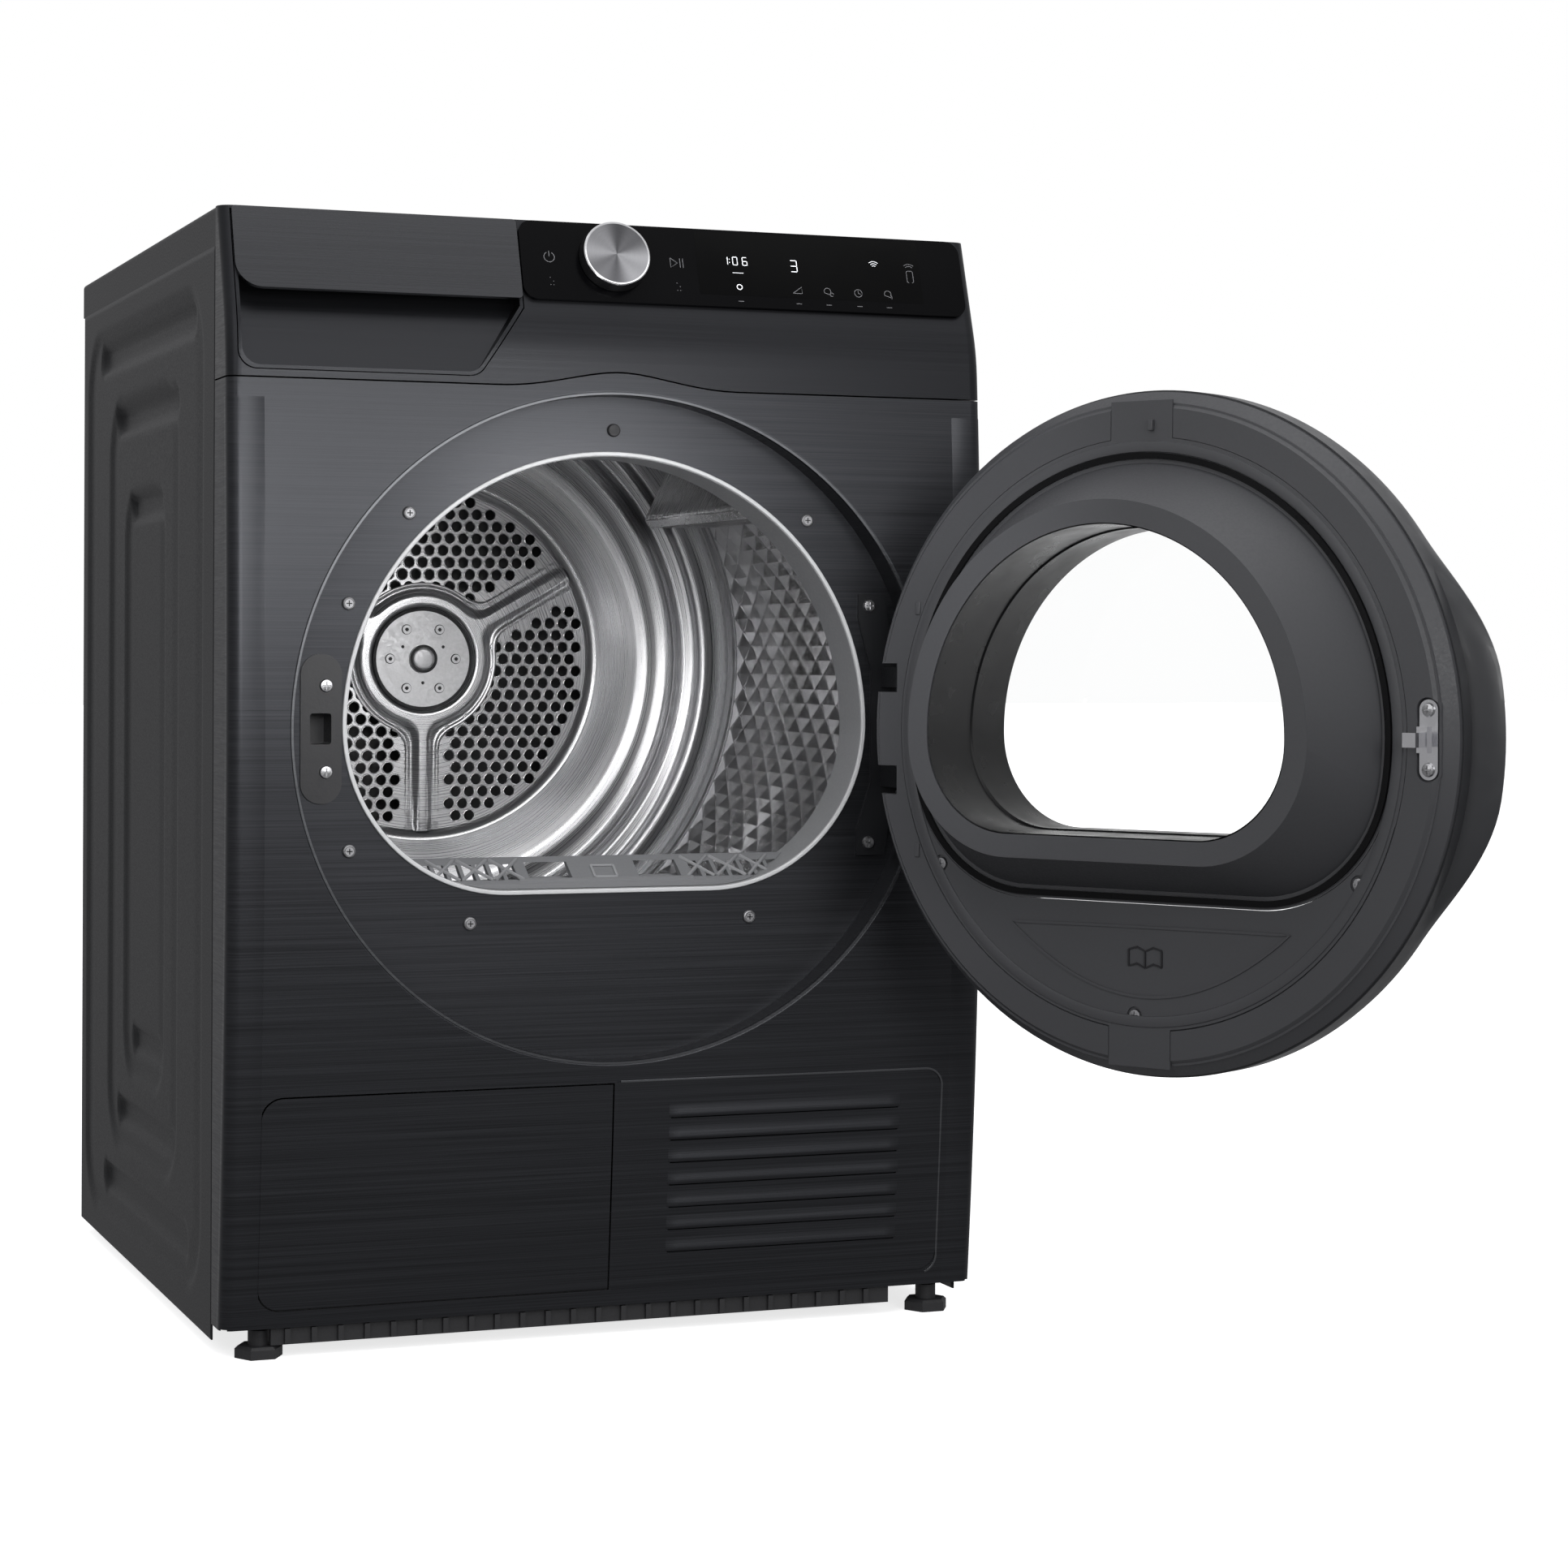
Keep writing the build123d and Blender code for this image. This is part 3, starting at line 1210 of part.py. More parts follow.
def door_outer():
    """Outer ring of the door with its grip lip."""
    y = door_front_y
    glass = frame_flat - 62 + 0.5
    outline = [(glass, y), (door_radius - 22, y - 2), (door_radius - 8, y + 2), (door_radius, y + 14),
               (door_radius, y + 35.0), (door_radius - 2.4, y + 35.0), (door_radius - 2.4, y + 15),
               (door_radius - 9.5, y + 4.4), (door_radius - 22, y + 0.6), (glass + 2.6, y + 2.6),
               (glass + 2.6, y + 7), (glass, y + 7)]
    ring = turned(outline, 0, door_z)
    lip = turned([(door_radius - 6, y + 3), (grip_radius, y + 7), (grip_radius, y + 12),
                  (grip_radius - 3, y + 20), (door_radius - 1, y + 20)], 0, door_z)
    wedge = make_face(Polyline((0, 0), (-400, 400 * math.tan(math.radians(grip_half_angle))),
                               (-400, -400 * math.tan(math.radians(grip_half_angle))), close=True))
    lip = lip & slab(at_door(wedge), y - 10, y + 60)
    under = turned([(door_radius - 2, y + 11), (grip_radius - 4, y + 13), (grip_radius - 5, y + 21),
                    (door_radius - 2, y + 21)], 0, door_z)
    ring = ring + lip - (under - rod_y(0, door_z, door_radius - 1, y - 10, y + 60))
    edge_gap = block(208, 262, door_front_y + 4.6, door_plane_y + 5, door_z - knuckle_offset - 11,
                     door_z + knuckle_offset + 11)
    for sign in (-1, 1):
        z = door_z + sign * knuckle_offset
        edge_gap += block(224, 270, door_front_y - 10, door_plane_y, z - 9.5, z + 9.5)
    return swung(ring - edge_gap)


def latch():
    """Chromed plate with the hook that the cabinet's catch grips."""
    y = door_plane_y
    plate = slab(at_door(Pos(-latch_x - 4, 0) * RectangleRounded(14, 55, 6.9)), y - 4.0, y - 2.0)
    for z in latch_screw_heights():
        plate -= rod_y(-latch_x - 4, door_z + z, 2.2, y - 8, y)
    plate += slab(at_door(Pos(-latch_x - 0.6, 0) * Rectangle(8, 18)), y - 2.0, y + 1.5)
    stem = block(-latch_x - 1, -latch_x + 4, y + 1.5, y + 16, door_z - 5, door_z + 5)
    nose = block(-latch_x - 4, -latch_x + 6, y + 12, y + 17, door_z - 5, door_z + 5)
    return swung(plate + stem + nose)


def door_hinge():
    """Door half of the hinge: a plate with ears above and below each knuckle."""
    parts = block(205, 224, door_plane_y - 10, door_plane_y - 5, door_z - 62, door_z + 62)
    for sign in (-1, 1):
        z = door_z + sign * knuckle_offset
        for side in (-1, 1):
            z0 = z + side * (knuckle_height / 2 + lug_gap) + min(side, 0) * lug_height
            ear = [(208, door_plane_y - 10), (208, door_plane_y - 5), (222, door_plane_y - 5),
                   (hinge_x + 4, hinge_y + 4), (hinge_x + 4, hinge_y - 4), (hinge_x - 5, hinge_y - 4)]
            parts += Pos(0, 0, z0) * extrude(make_face(Polyline(*ear, close=True)), lug_height)
            parts += rod_z(hinge_x, hinge_y, knuckle_radius, z0, z0 + lug_height)
    body = parts
    for sign in (-1, 1):
        z = door_z + sign * knuckle_offset
        z0 = z - knuckle_height / 2 - lug_gap
        body -= block(217, 250, door_plane_y - 60, door_plane_y + 5, z0, z0 + knuckle_height + 2 * lug_gap)
        body -= rod_z(hinge_x, hinge_y, pin_radius, z0 - 10, z0 + knuckle_height + 10)
    return swung(body)


def hinge_pins():
    """Two pins through the ears and the knuckles."""
    reach = knuckle_height / 2 + lug_gap + lug_height
    pins = [rod_z(hinge_x, hinge_y, pin_radius, door_z + s * knuckle_offset - reach,
                  door_z + s * knuckle_offset + reach) for s in (-1, 1)]
    return Compound(children=[pin.solid() for pin in pins])


def access_flap():
    """Bellied flap in front of the heat exchanger, hinged along its foot."""
    outer = panel_blank(front_foot_z, split_z, 0.0, seam_y)
    inner = panel_blank(front_foot_z - 5, split_z + 5, flap_wall, seam_y + 5)
    return (outer - inner) & slab(flap_face(0.0), front_y - 5, seam_y)


PARTS = {
    "base_tray": base_tray, "side_panel_left": lambda: side_panel(-1),
    "side_panel_right": lambda: side_panel(1), "rear_panel": rear_panel, "top_cover": top_cover,
    "front_panel": front_panel, "fascia": fascia, "console_glass": console_glass,
    "display_board": display_board, "knob": knob, "drawer_front": drawer_front,
    "drawer_liner": drawer_liner, "water_tank": water_tank, "tank_lid": tank_lid,
    "front_bulkhead": front_bulkhead, "porthole_tunnel": porthole_tunnel,
    "porthole_bezel": porthole_bezel, "lint_filter": lint_filter, "catch_plate": catch_plate,
    "front_screws": front_screws, "hinge_bracket": hinge_bracket, "drum_shell": drum_shell,
    "drum_back": drum_back, "hub_plate": hub_plate, "drum_shaft": drum_shaft,
    "drum_lifters": drum_lifters, "drum_seals": drum_seals, "rear_duct": rear_duct,
    "bearing_housing": bearing_housing, "shaft_bearing": shaft_bearing,
    "heat_exchanger_housing": heat_exchanger_housing, "heat_exchanger_lid": heat_exchanger_lid,
    "evaporator": evaporator, "condenser": condenser, "compressor": compressor, "motor": motor,
    "motor_rotor": motor_rotor, "fan_impeller": fan_impeller, "fan_housing": fan_housing,
    "drive_belt": drive_belt, "roller_left": lambda: roller(-1), "roller_right": lambda: roller(1),
    "drain_pump": drain_pump, "power_inlet": power_inlet, "door_frame": door_frame,
    "door_bowl": door_bowl, "door_cover": door_cover, "door_screws": door_screws,
    "door_seal": door_seal, "door_glass": door_glass, "door_outer": door_outer,
    "latch": latch, "refrigerant_pipes": refrigerant_pipes, "door_hinge": door_hinge,
    "hinge_pins": hinge_pins, "access_flap": access_flap,
    "foot_front_left": lambda: foot(-foot_x, foot_front_y),
    "foot_front_right": lambda: foot(foot_x, foot_front_y),
    "foot_rear_left": lambda: foot(-foot_x, foot_back_y),
    "foot_rear_right": lambda: foot(foot_x, foot_back_y),
}

os.makedirs("parts", exist_ok=True)
for name, make in PARTS.items():
    export_step(make(), f"parts/{name}.step")
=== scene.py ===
import json
import math

import bpy
import numpy as np
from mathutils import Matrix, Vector


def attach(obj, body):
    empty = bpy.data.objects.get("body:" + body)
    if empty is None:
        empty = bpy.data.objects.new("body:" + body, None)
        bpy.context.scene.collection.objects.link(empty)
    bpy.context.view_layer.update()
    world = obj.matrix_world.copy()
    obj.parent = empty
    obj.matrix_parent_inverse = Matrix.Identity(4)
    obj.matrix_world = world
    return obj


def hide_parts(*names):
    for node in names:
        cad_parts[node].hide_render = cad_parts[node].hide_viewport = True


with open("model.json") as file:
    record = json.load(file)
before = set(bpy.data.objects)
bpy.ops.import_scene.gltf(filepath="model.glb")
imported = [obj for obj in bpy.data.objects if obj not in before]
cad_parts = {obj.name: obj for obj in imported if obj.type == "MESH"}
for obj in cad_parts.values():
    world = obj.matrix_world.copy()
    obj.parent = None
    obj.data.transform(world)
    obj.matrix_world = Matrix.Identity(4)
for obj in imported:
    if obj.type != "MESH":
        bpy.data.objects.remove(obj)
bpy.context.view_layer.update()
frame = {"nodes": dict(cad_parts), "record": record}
nodes = frame["nodes"]

# ---------------------------------------------------------------------------
# The room: a pale floor, a white surround and large soft lights.
# Nothing here belongs to the machine.
# ---------------------------------------------------------------------------
scene = bpy.context.scene
scene.view_settings.view_transform = "Standard"
scene.view_settings.look = "None"


class Value:
    """One shader socket that can be used in sums and products."""

    def __init__(self, finish, socket):
        self.finish = finish
        self.socket = socket

    def _math(self, operation, first, second):
        return self.finish.node("ShaderNodeMath", {"operation": operation}, **{"0": first, "1": second})

    def __add__(self, other):
        return self._math("ADD", self, other)

    def __radd__(self, other):
        return self._math("ADD", other, self)

    def __mul__(self, other):
        return self._math("MULTIPLY", self, other)

    def __rmul__(self, other):
        return self._math("MULTIPLY", other, self)


class Finish:
    """A material round one principled shader, with methods that add its pattern."""

    def __init__(self, name, colour, roughness, metallic=0.0, **sockets):
        self.material = bpy.data.materials.new(name)
        self.material.use_nodes = True
        self.tree = self.material.node_tree
        self.shader = self.tree.nodes["Principled BSDF"]
        self.shader.inputs["Base Color"].default_value = (*colour, 1.0)
        self.shader.inputs["Roughness"].default_value = roughness
        self.shader.inputs["Metallic"].default_value = metallic
        for socket, value in sockets.items():
            self.shader.inputs[socket.replace("_", " ")].default_value = value

    def node(self, kind, settings=None, out=0, **values):
        """Adds a node: its settings first, then the values or links of its sockets."""
        made = self.tree.nodes.new(kind)
        for key, value in (settings or {}).items():
            if key == "stops":
                ramp = made.color_ramp.elements
                while len(ramp) < len(value):
                    ramp.new(0.5)
                for stop, (position, colour) in zip(ramp, value):
                    stop.position = position
                    stop.color = (*colour, 1.0)
            else:
                setattr(made, key, value)
        for key, value in values.items():
            name = int(key) if key.isdigit() else key.replace("_", " ")
            self.link(value, made.inputs[name])
        return Value(self, made.outputs[out])

    def link(self, value, socket):
        """Links a Value to a socket, or sets the socket to a plain number or colour."""
        if isinstance(value, Value):
            self.tree.links.new(value.socket, socket)
        else:
            socket.default_value = value

    def feed(self, socket, value):
        """Sends a pattern to one of the shader's own sockets."""
        self.link(value, self.shader.inputs[socket])
        return self

    def coords(self, scale=(1.0, 1.0, 1.0), centre=(0.0, 0.0, 0.0)):
        """Object coordinates, moved to a centre and stretched."""
        place = self.node("ShaderNodeTexCoord", out="Object")
        moved = self.node("ShaderNodeMapping", Vector=place, Location=tuple(-c for c in centre))
        return self.node("ShaderNodeMapping", Vector=moved, Scale=scale)

    def noise(self, scale, detail=3.0):
        """Noise over stretched object coordinates."""
        return self.node("ShaderNodeTexNoise", Vector=self.coords(scale), Scale=1.0, Detail=detail, Roughness=0.5)

    def between(self, factor, low, high):
        """Colour mixed from low to high by a factor."""
        return self.node("ShaderNodeMix", {"data_type": "RGBA"}, out=2,
                         **{"0": factor, "6": (*low, 1.0), "7": (*high, 1.0)})

    def span(self, value, low, high, new_low, new_high):
        """Remaps a value from one range to another, held at the ends."""
        return self.node("ShaderNodeMapRange", Value=value, From_Min=low, From_Max=high,
                         To_Min=new_low, To_Max=new_high)

    def relief(self, height, distance):
        """Feeds a height pattern, in metres of depth, to the shader's normal."""
        bump = self.node("ShaderNodeBump", Height=height, Distance=distance, Strength=1.0)
        return self.feed("Normal", bump)


floor_finish = Finish("pale_floor", (0.93, 0.93, 0.935), 0.55, Emission_Strength=0.75)
floor_finish.shader.inputs["Emission Color"].default_value = (1.0, 1.0, 1.0, 1.0)
floor_tone = floor_finish.noise((1.3, 1.3, 1.3), 2.0)
floor_finish.feed("Base Color", floor_finish.between(floor_tone, (0.92, 0.92, 0.925),
                                                      (0.95, 0.95, 0.955)))
floor_mesh = bpy.data.meshes.new("floor")
floor_reach = 30.0
floor_corners = [(x * floor_reach, y * floor_reach, 0) for x, y in ((-1, -1), (1, -1), (1, 1), (-1, 1))]
floor_mesh.from_pydata(floor_corners, [], [(0, 1, 2, 3)])
floor = bpy.data.objects.new("floor", floor_mesh)
floor_mesh.materials.append(floor_finish.material)
scene.collection.objects.link(floor)

world = bpy.data.worlds.new("surround")
scene.world = world
world.use_nodes = True
tree = world.node_tree
sky = tree.nodes["Background"]
place = tree.nodes.new("ShaderNodeTexCoord")
parts = tree.nodes.new("ShaderNodeSeparateXYZ")
rise = tree.nodes.new("ShaderNodeMapRange")
ramp = tree.nodes.new("ShaderNodeValToRGB")
path = tree.nodes.new("ShaderNodeLightPath")
seen = tree.nodes.new("ShaderNodeMath")
seen.operation = "MAXIMUM"
pick = tree.nodes.new("ShaderNodeMix")
pick.data_type = "RGBA"
tree.links.new(place.outputs["Generated"], parts.inputs[0])
tree.links.new(parts.outputs["Z"], rise.inputs["Value"])
rise.inputs["From Min"].default_value = -1.0
rise.inputs["From Max"].default_value = 1.0
tree.links.new(rise.outputs[0], ramp.inputs[0])
stops = ((0.0, 0.22), (0.40, 0.27), (0.50, 0.32), (0.62, 0.46), (1.0, 0.75))
while len(ramp.color_ramp.elements) < len(stops):
    ramp.color_ramp.elements.new(0.5)
for stop, (position, level) in zip(ramp.color_ramp.elements, stops):
    stop.position = position
    stop.color = (level, level, level * 1.02, 1)
tree.links.new(path.outputs["Is Camera Ray"], seen.inputs[0])
tree.links.new(path.outputs["Is Transmission Ray"], seen.inputs[1])
tree.links.new(seen.outputs[0], pick.inputs[0])
tree.links.new(ramp.outputs["Color"], pick.inputs[6])
pick.inputs[7].default_value = (1.0, 1.0, 1.0, 1.0)
tree.links.new(pick.outputs[2], sky.inputs["Color"])
sky.inputs["Strength"].default_value = 1.0
floor.visible_diffuse = False
floor.visible_glossy = False


def lamp(name, place, aim, size, power, spread=180.0):
    """Rectangular soft lamp that points from its place at an aim point."""
    data = bpy.data.lights.new(name, "AREA")
    data.shape = "RECTANGLE"
    data.size, data.size_y = size
    data.energy = power
    data.spread = math.radians(spread)
    made = bpy.data.objects.new(name, data)
    made.location = place
    made.rotation_euler = (Vector(aim) - Vector(place)).to_track_quat("-Z", "Y").to_euler()
    made.visible_camera = False
    scene.collection.objects.link(made)
    return made


lamp("lamp_overhead", (0.0, -1.2, 3.4), (0.0, 0.0, 0.4), (3.5, 2.5), 30)
lamp("lamp_left", (-2.4, -2.6, 1.9), (0.0, -0.2, 0.6), (1.2, 1.6), 7)
lamp("lamp_front", (0.5, -3.4, 1.3), (0.0, 0.1, 0.5), (1.0, 1.0), 18)
lamp("lamp_drum_left", (-0.34, -0.95, 0.66), (0.2, 0.1, 0.5), (0.30, 0.30), 0.95, 120)
lamp("lamp_drum_right", (0.10, -0.75, 0.62), (-0.15, 0.25, 0.5), (0.16, 0.16), 0.42, 120)

camera_data = bpy.data.cameras.new("camera")
camera_data.sensor_width = 36.0
camera_data.lens = 77.37
camera_data.shift_y = -0.08292
camera = bpy.data.objects.new("camera", camera_data)
camera.location = (-0.8019, -2.745, 0.5198)
camera.rotation_euler = (math.radians(90.0), math.radians(-0.23), math.radians(-21.0615))
scene.collection.objects.link(camera)
scene.camera = camera

# ---------------------------------------------------------------------------
# The cabinet's painted sides: one sheet each, pressed with three nested
# rounded steps and a pair of deep bars in every step.  Satin graphite paint.
# ---------------------------------------------------------------------------
mm = 0.001


def piece(name, points, faces, finish, body, *replaced, sharp=40.0, solid=0.0, bevel=0.0, smooth=True):
    """Mesh object from arrays of points (metres) and faces, on its body and in its finish."""
    mesh = bpy.data.meshes.new(name)
    points = np.asarray(points, float).reshape(-1, 3)
    mesh.from_pydata(points.tolist(), [], [tuple(int(i) for i in face) for face in faces])
    mesh.polygons.foreach_set("use_smooth", [smooth] * len(mesh.polygons))
    if smooth:
        mesh.set_sharp_from_angle(angle=math.radians(sharp))
    made = bpy.data.objects.new(name, mesh)
    scene.collection.objects.link(made)
    mesh.materials.append(finish.material)
    if solid:
        wall = made.modifiers.new("wall", "SOLIDIFY")
        wall.thickness = solid
        wall.offset = -1.0
        wall.use_even_offset = True
    if bevel:
        edge = made.modifiers.new("edge", "BEVEL")
        edge.width = bevel
        edge.segments = 2
        edge.limit_method = "ANGLE"
        edge.harden_normals = False
    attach(made, body)
    if replaced:
        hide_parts(*replaced)
    return made


def quads(rows, columns, close_rows=False, close_columns=False, flip=False):
    """Faces of a grid of rows x columns points, wrapped round where it closes."""
    r = np.arange(rows if close_rows else rows - 1)
    c = np.arange(columns if close_columns else columns - 1)
    r, c = np.meshgrid(r, c, indexing="ij")
    r2, c2 = (r + 1) % rows, (c + 1) % columns
    faces = np.stack([r * columns + c, r * columns + c2, r2 * columns + c2, r2 * columns + c], -1)
    faces = faces.reshape(-1, 4)
    return faces[:, ::-1] if flip else faces


def step(value, low, high):
    """Smooth rise from 0 at low to 1 at high."""
    t = np.clip((value - low) / (high - low), 0.0, 1.0)
    return t * t * (3.0 - 2.0 * t)


painted = set()


def paint(finish, *names):
    """Gives CAD nodes a finish."""
    painted.update(names)
    for name in names:
        nodes[name].data.materials.clear()
        nodes[name].data.materials.append(finish.material)
        for polygon in nodes[name].data.polygons:
            polygon.material_index = 0


side_paint = Finish("graphite_side_paint", (0.009, 0.0094, 0.011), 0.48, 0.1, Specular_IOR_Level=0.3)
peel = side_paint.noise((700.0, 700.0, 700.0), 2.0)
side_tone = side_paint.noise((5.0, 5.0, 5.0), 2.0)
side_paint.feed("Base Color", side_paint.between(side_tone, (0.0075, 0.0079, 0.0092),
                                                  (0.0100, 0.0105, 0.0122)))
side_paint.feed("Roughness", side_paint.span(peel, 0.3, 0.7, 0.38, 0.5))
side_paint.relief(peel, 0.00006)

half_width, seam, rear = 300.0, -269.0, 313.0
side_low, side_high = 11.0, 820.0
step_depth, step_fade, bar_depth, deepest, sheet = 2.6, 0.8, 5.4, 9.5, 1.2
# Each step: its lowest and highest y and z, its corner and the width it fades over.
press_steps = [(-226, 292, 30, 800, 62, 26), (-121, 190, 96, 737, 58, 24), (-56, 124, 160, 656, 44, 20)]
# Each bar: its lowest and highest y, its middle z and half its height.
press_bars = [(-186, 236, 774, 9), (-122, 164, 716, 8), (-46, 102, 640, 7),
              (-168, 204, 66, 9), (-104, 150, 130, 8), (-36, 90, 196, 7)]


def rounded_distance(a, b, a0, a1, b0, b1, radius):
    """How far inside a rounded rectangle each point lies: positive inside."""
    da = np.abs(a - (a0 + a1) / 2) - (a1 - a0) / 2 + radius
    db = np.abs(b - (b0 + b1) / 2) - (b1 - b0) / 2 + radius
    outside = np.hypot(np.maximum(da, 0), np.maximum(db, 0))
    return radius - outside - np.minimum(np.maximum(da, db), 0)


def side_panel(name, sign):
    """Grid over (y, z); its depth is the sum of smooth steps at each nested outline."""
    y = np.linspace(seam, rear, 130)
    z = np.linspace(side_low, side_high, 190)
    a, b = np.meshgrid(y, z, indexing="ij")
    depth = np.zeros_like(a)
    for a0, a1, b0, b1, radius, blend in press_steps:
        inside = rounded_distance(a, b, a0, a1, b0, b1, radius)
        depth += step_depth * step(inside, 0, 9) - step_fade * step(inside, 12, blend + 12)
    for a0, a1, middle, half in press_bars:
        inside = rounded_distance(a, b, a0, a1, middle - half - 6, middle + half + 6, half + 5)
        depth += bar_depth * step(inside, -1, 9)
    x = sign * (half_width - np.minimum(depth, deepest))
    grid = np.stack([x, a, b], -1) * mm
    piece(name, grid, quads(*a.shape, flip=sign > 0), side_paint, "cabinet", name.replace("pressed_", ""),
          solid=sheet * mm, sharp=80)


side_panel("pressed_side_panel_left", -1)
side_panel("pressed_side_panel_right", 1)
paint(side_paint, "top_cover", "hinge_bracket", "door_hinge")

# ---------------------------------------------------------------------------
# Bare galvanised sheet with a faint spangle: the rear panel, the bulkhead
# behind the front and the bearing's housing, punched and folded.
# ---------------------------------------------------------------------------
zinc_sheet = Finish("zinc_sheet", (0.50, 0.51, 0.53), 0.42, 0.85)
spangle = zinc_sheet.node("ShaderNodeTexVoronoi", {"feature": "F1"}, out="Color",
                          Vector=zinc_sheet.coords((60, 60, 60)), Scale=1.0)
zinc_sheet.feed("Roughness", zinc_sheet.span(spangle, 0.0, 1.0, 0.34, 0.5))
paint(zinc_sheet, "rear_panel", "front_bulkhead", "bearing_housing")

# ---------------------------------------------------------------------------
# The brushed front: bellied steel front panel and the flap set into it, with
# fine lines drawn from side to side under a dark lacquer.
# ---------------------------------------------------------------------------
def brushed(name, colour, roughness, contrast=0.22, coat=0.15):
    """Metal with fine lines along X: noise squeezed to hair-thin bands in Z, in two sizes."""
    made = Finish(name, colour, roughness, 0.88, Coat_Weight=coat, Coat_Roughness=0.25)
    fine = made.noise((5.0, 60.0, 1400.0), 3.0)
    broad = made.noise((2.6, 12.0, 460.0), 2.0)
    hair = fine * 0.68 + broad * 0.32
    dark = tuple(c * (1 - contrast) for c in colour)
    light = tuple(c * (1 + contrast) for c in colour)
    made.feed("Base Color", made.between(made.span(hair, 0.36, 0.64, 0.0, 1.0), dark, light))
    made.feed("Roughness", made.span(hair, 0.36, 0.64, roughness - 0.05, roughness + 0.07))
    made.relief(hair, 0.00005)
    return made


front_steel = brushed("graphite_brushed_steel", (0.034, 0.0352, 0.0395), 0.40)
paint(front_steel, "front_panel", "access_flap")

belly_y, belly_z, belly_radius = -325.0, 450.0, 4100.0


def on_front(a, b, height):
    """Points of the bellied front at (a, b): y follows a large circle in z, less the height off it."""
    y = belly_y + belly_radius - np.sqrt(belly_radius ** 2 - (b - belly_z) ** 2) - height
    return np.stack(np.broadcast_arrays(a, y, b), -1)

# ---------------------------------------------------------------------------
# The rolled edge of the round recess and the pressed border by the louvres:
# raised lines on the front sheet, in a lighter steel that paints a highlight along them.
# ---------------------------------------------------------------------------
def gather(*parts):
    """Joins (points, faces) pairs into one pair."""
    points, faces, start = [], [], 0
    for part_points, part_faces in parts:
        part_points = np.asarray(part_points, float).reshape(-1, 3)
        points.append(part_points)
        faces += [tuple(int(i) + start for i in face) for face in part_faces]
        start += len(part_points)
    return np.concatenate(points), faces


def ribbon(line, width, place, closed=False, thick=0.12):
    """Thin raised stroke along a flat line in mm; place turns (a, b, height) into points in mm."""
    line = np.asarray(line, float)
    if closed:
        tangent = np.roll(line, -1, 0) - np.roll(line, 1, 0)
    else:
        tangent = np.gradient(line, axis=0)
    tangent /= np.maximum(np.linalg.norm(tangent, axis=1), 1e-9)[:, None]
    normal = np.stack([-tangent[:, 1], tangent[:, 0]], -1) * width / 2
    sides = [(line + normal, 0.0), (line + normal, thick), (line - normal, thick), (line - normal, 0.0)]
    grid = np.stack([place(side[:, 0], side[:, 1], height) for side, height in sides])
    faces = [tuple(face) for face in quads(4, len(line), close_columns=closed, close_rows=True)]
    if not closed:
        n = len(line)
        faces += [(0, n, 2 * n, 3 * n), (4 * n - 1, 3 * n - 1, 2 * n - 1, n - 1)]
    return grid * mm, faces


def arc(a, b, radius, start, end, count=24):
    """Points of a flat arc in mm between two angles in degrees."""
    t = np.radians(np.linspace(start, end, count))
    return np.stack([a + radius * np.cos(t), b + radius * np.sin(t)], -1)


recess_z, recess_radius = 463, 253.6
border_start, border_top, border_foot, border_right, border_corner = 2.0, 195, 32, 268, 14
# A steel lighter than the front: a painted highlight along the recess edge and the border.
painted_highlight_steel = brushed("painted_highlight_edge", (0.105, 0.108, 0.115), 0.34, contrast=0.12)
edge_line = arc(0, recess_z, recess_radius, 0, 360, 241)[:-1][::-1]
points, faces = ribbon(edge_line, 1.7, on_front, closed=True, thick=0.35)
piece("recess_edge_painted_highlight", points, faces, painted_highlight_steel, "cabinet", smooth=False)
border = np.concatenate([[(border_start, border_top), (120.0, border_top)],
                         arc(border_right - border_corner, border_top - border_corner, border_corner, 90, 0, 10),
                         arc(border_right - border_corner, border_foot + border_corner, border_corner, 0, -70, 9)])
points, faces = ribbon(border[::-1], 1.6, on_front, thick=0.4)
piece("lower_pressed_border", points, faces, painted_highlight_steel, "cabinet", bevel=0.5 * mm, sharp=30)

# ---------------------------------------------------------------------------
# The rolled vertical corners where the front sheet turns back to the sides,
# one tight bend in the same brushed steel.
# ---------------------------------------------------------------------------
bend_radius, bend_centre, bend_back = 10.15, 290, 10
bend = np.radians(np.linspace(0, 90, 13))
corner_x = np.concatenate([[299.0, 300.15], bend_centre + bend_radius * np.cos(bend), [274.0, 272.8]])
corner_y = np.concatenate([[16.0, 15.0], bend_back - bend_radius * np.sin(bend), [-0.15, 0.3]])
corner_z = np.linspace(24.0, 706.0, 60)
front_y = on_front(0, corner_z, 0)[:, 1]
for side, sign in (("left", -1), ("right", 1)):
    grid = np.stack(np.broadcast_arrays(sign * corner_x, front_y[:, None] + corner_y, corner_z[:, None]), -1)
    piece("front_corner_" + side, grid * mm, quads(*grid.shape[:2], flip=sign < 0), front_steel, "cabinet",
          sharp=60)

# ---------------------------------------------------------------------------
# Louvre hoods: the front sheet swells over each slot and its lip is turned
# under, lanced and formed in one stroke.
# ---------------------------------------------------------------------------
louvre_left, louvre_right, louvre_fade = 41.5, 232.5, 4.5
louvre_top, louvre_pitch, louvre_count = 167.5, 17.3, 7
hood_profile = np.array([(9.0, 0.05), (6.5, 0.25), (4.0, 0.8), (1.5, 1.4), (-0.8, 1.7), (-1.4, 1.3), (-1.2, 0.1)])
rise, out = hood_profile[:, :1], hood_profile[:, 1:]
x = np.linspace(louvre_left, louvre_right, 40)
ends = np.minimum(step(x, louvre_left, louvre_left + louvre_fade),
                  1 - step(x, louvre_right - louvre_fade, louvre_right))
hoods = [(on_front(x, louvre_top - louvre_pitch * index + rise, out * ends + 0.05) * mm,
          quads(len(hood_profile), len(x), flip=True)) for index in range(louvre_count)]
points, faces = gather(*hoods)
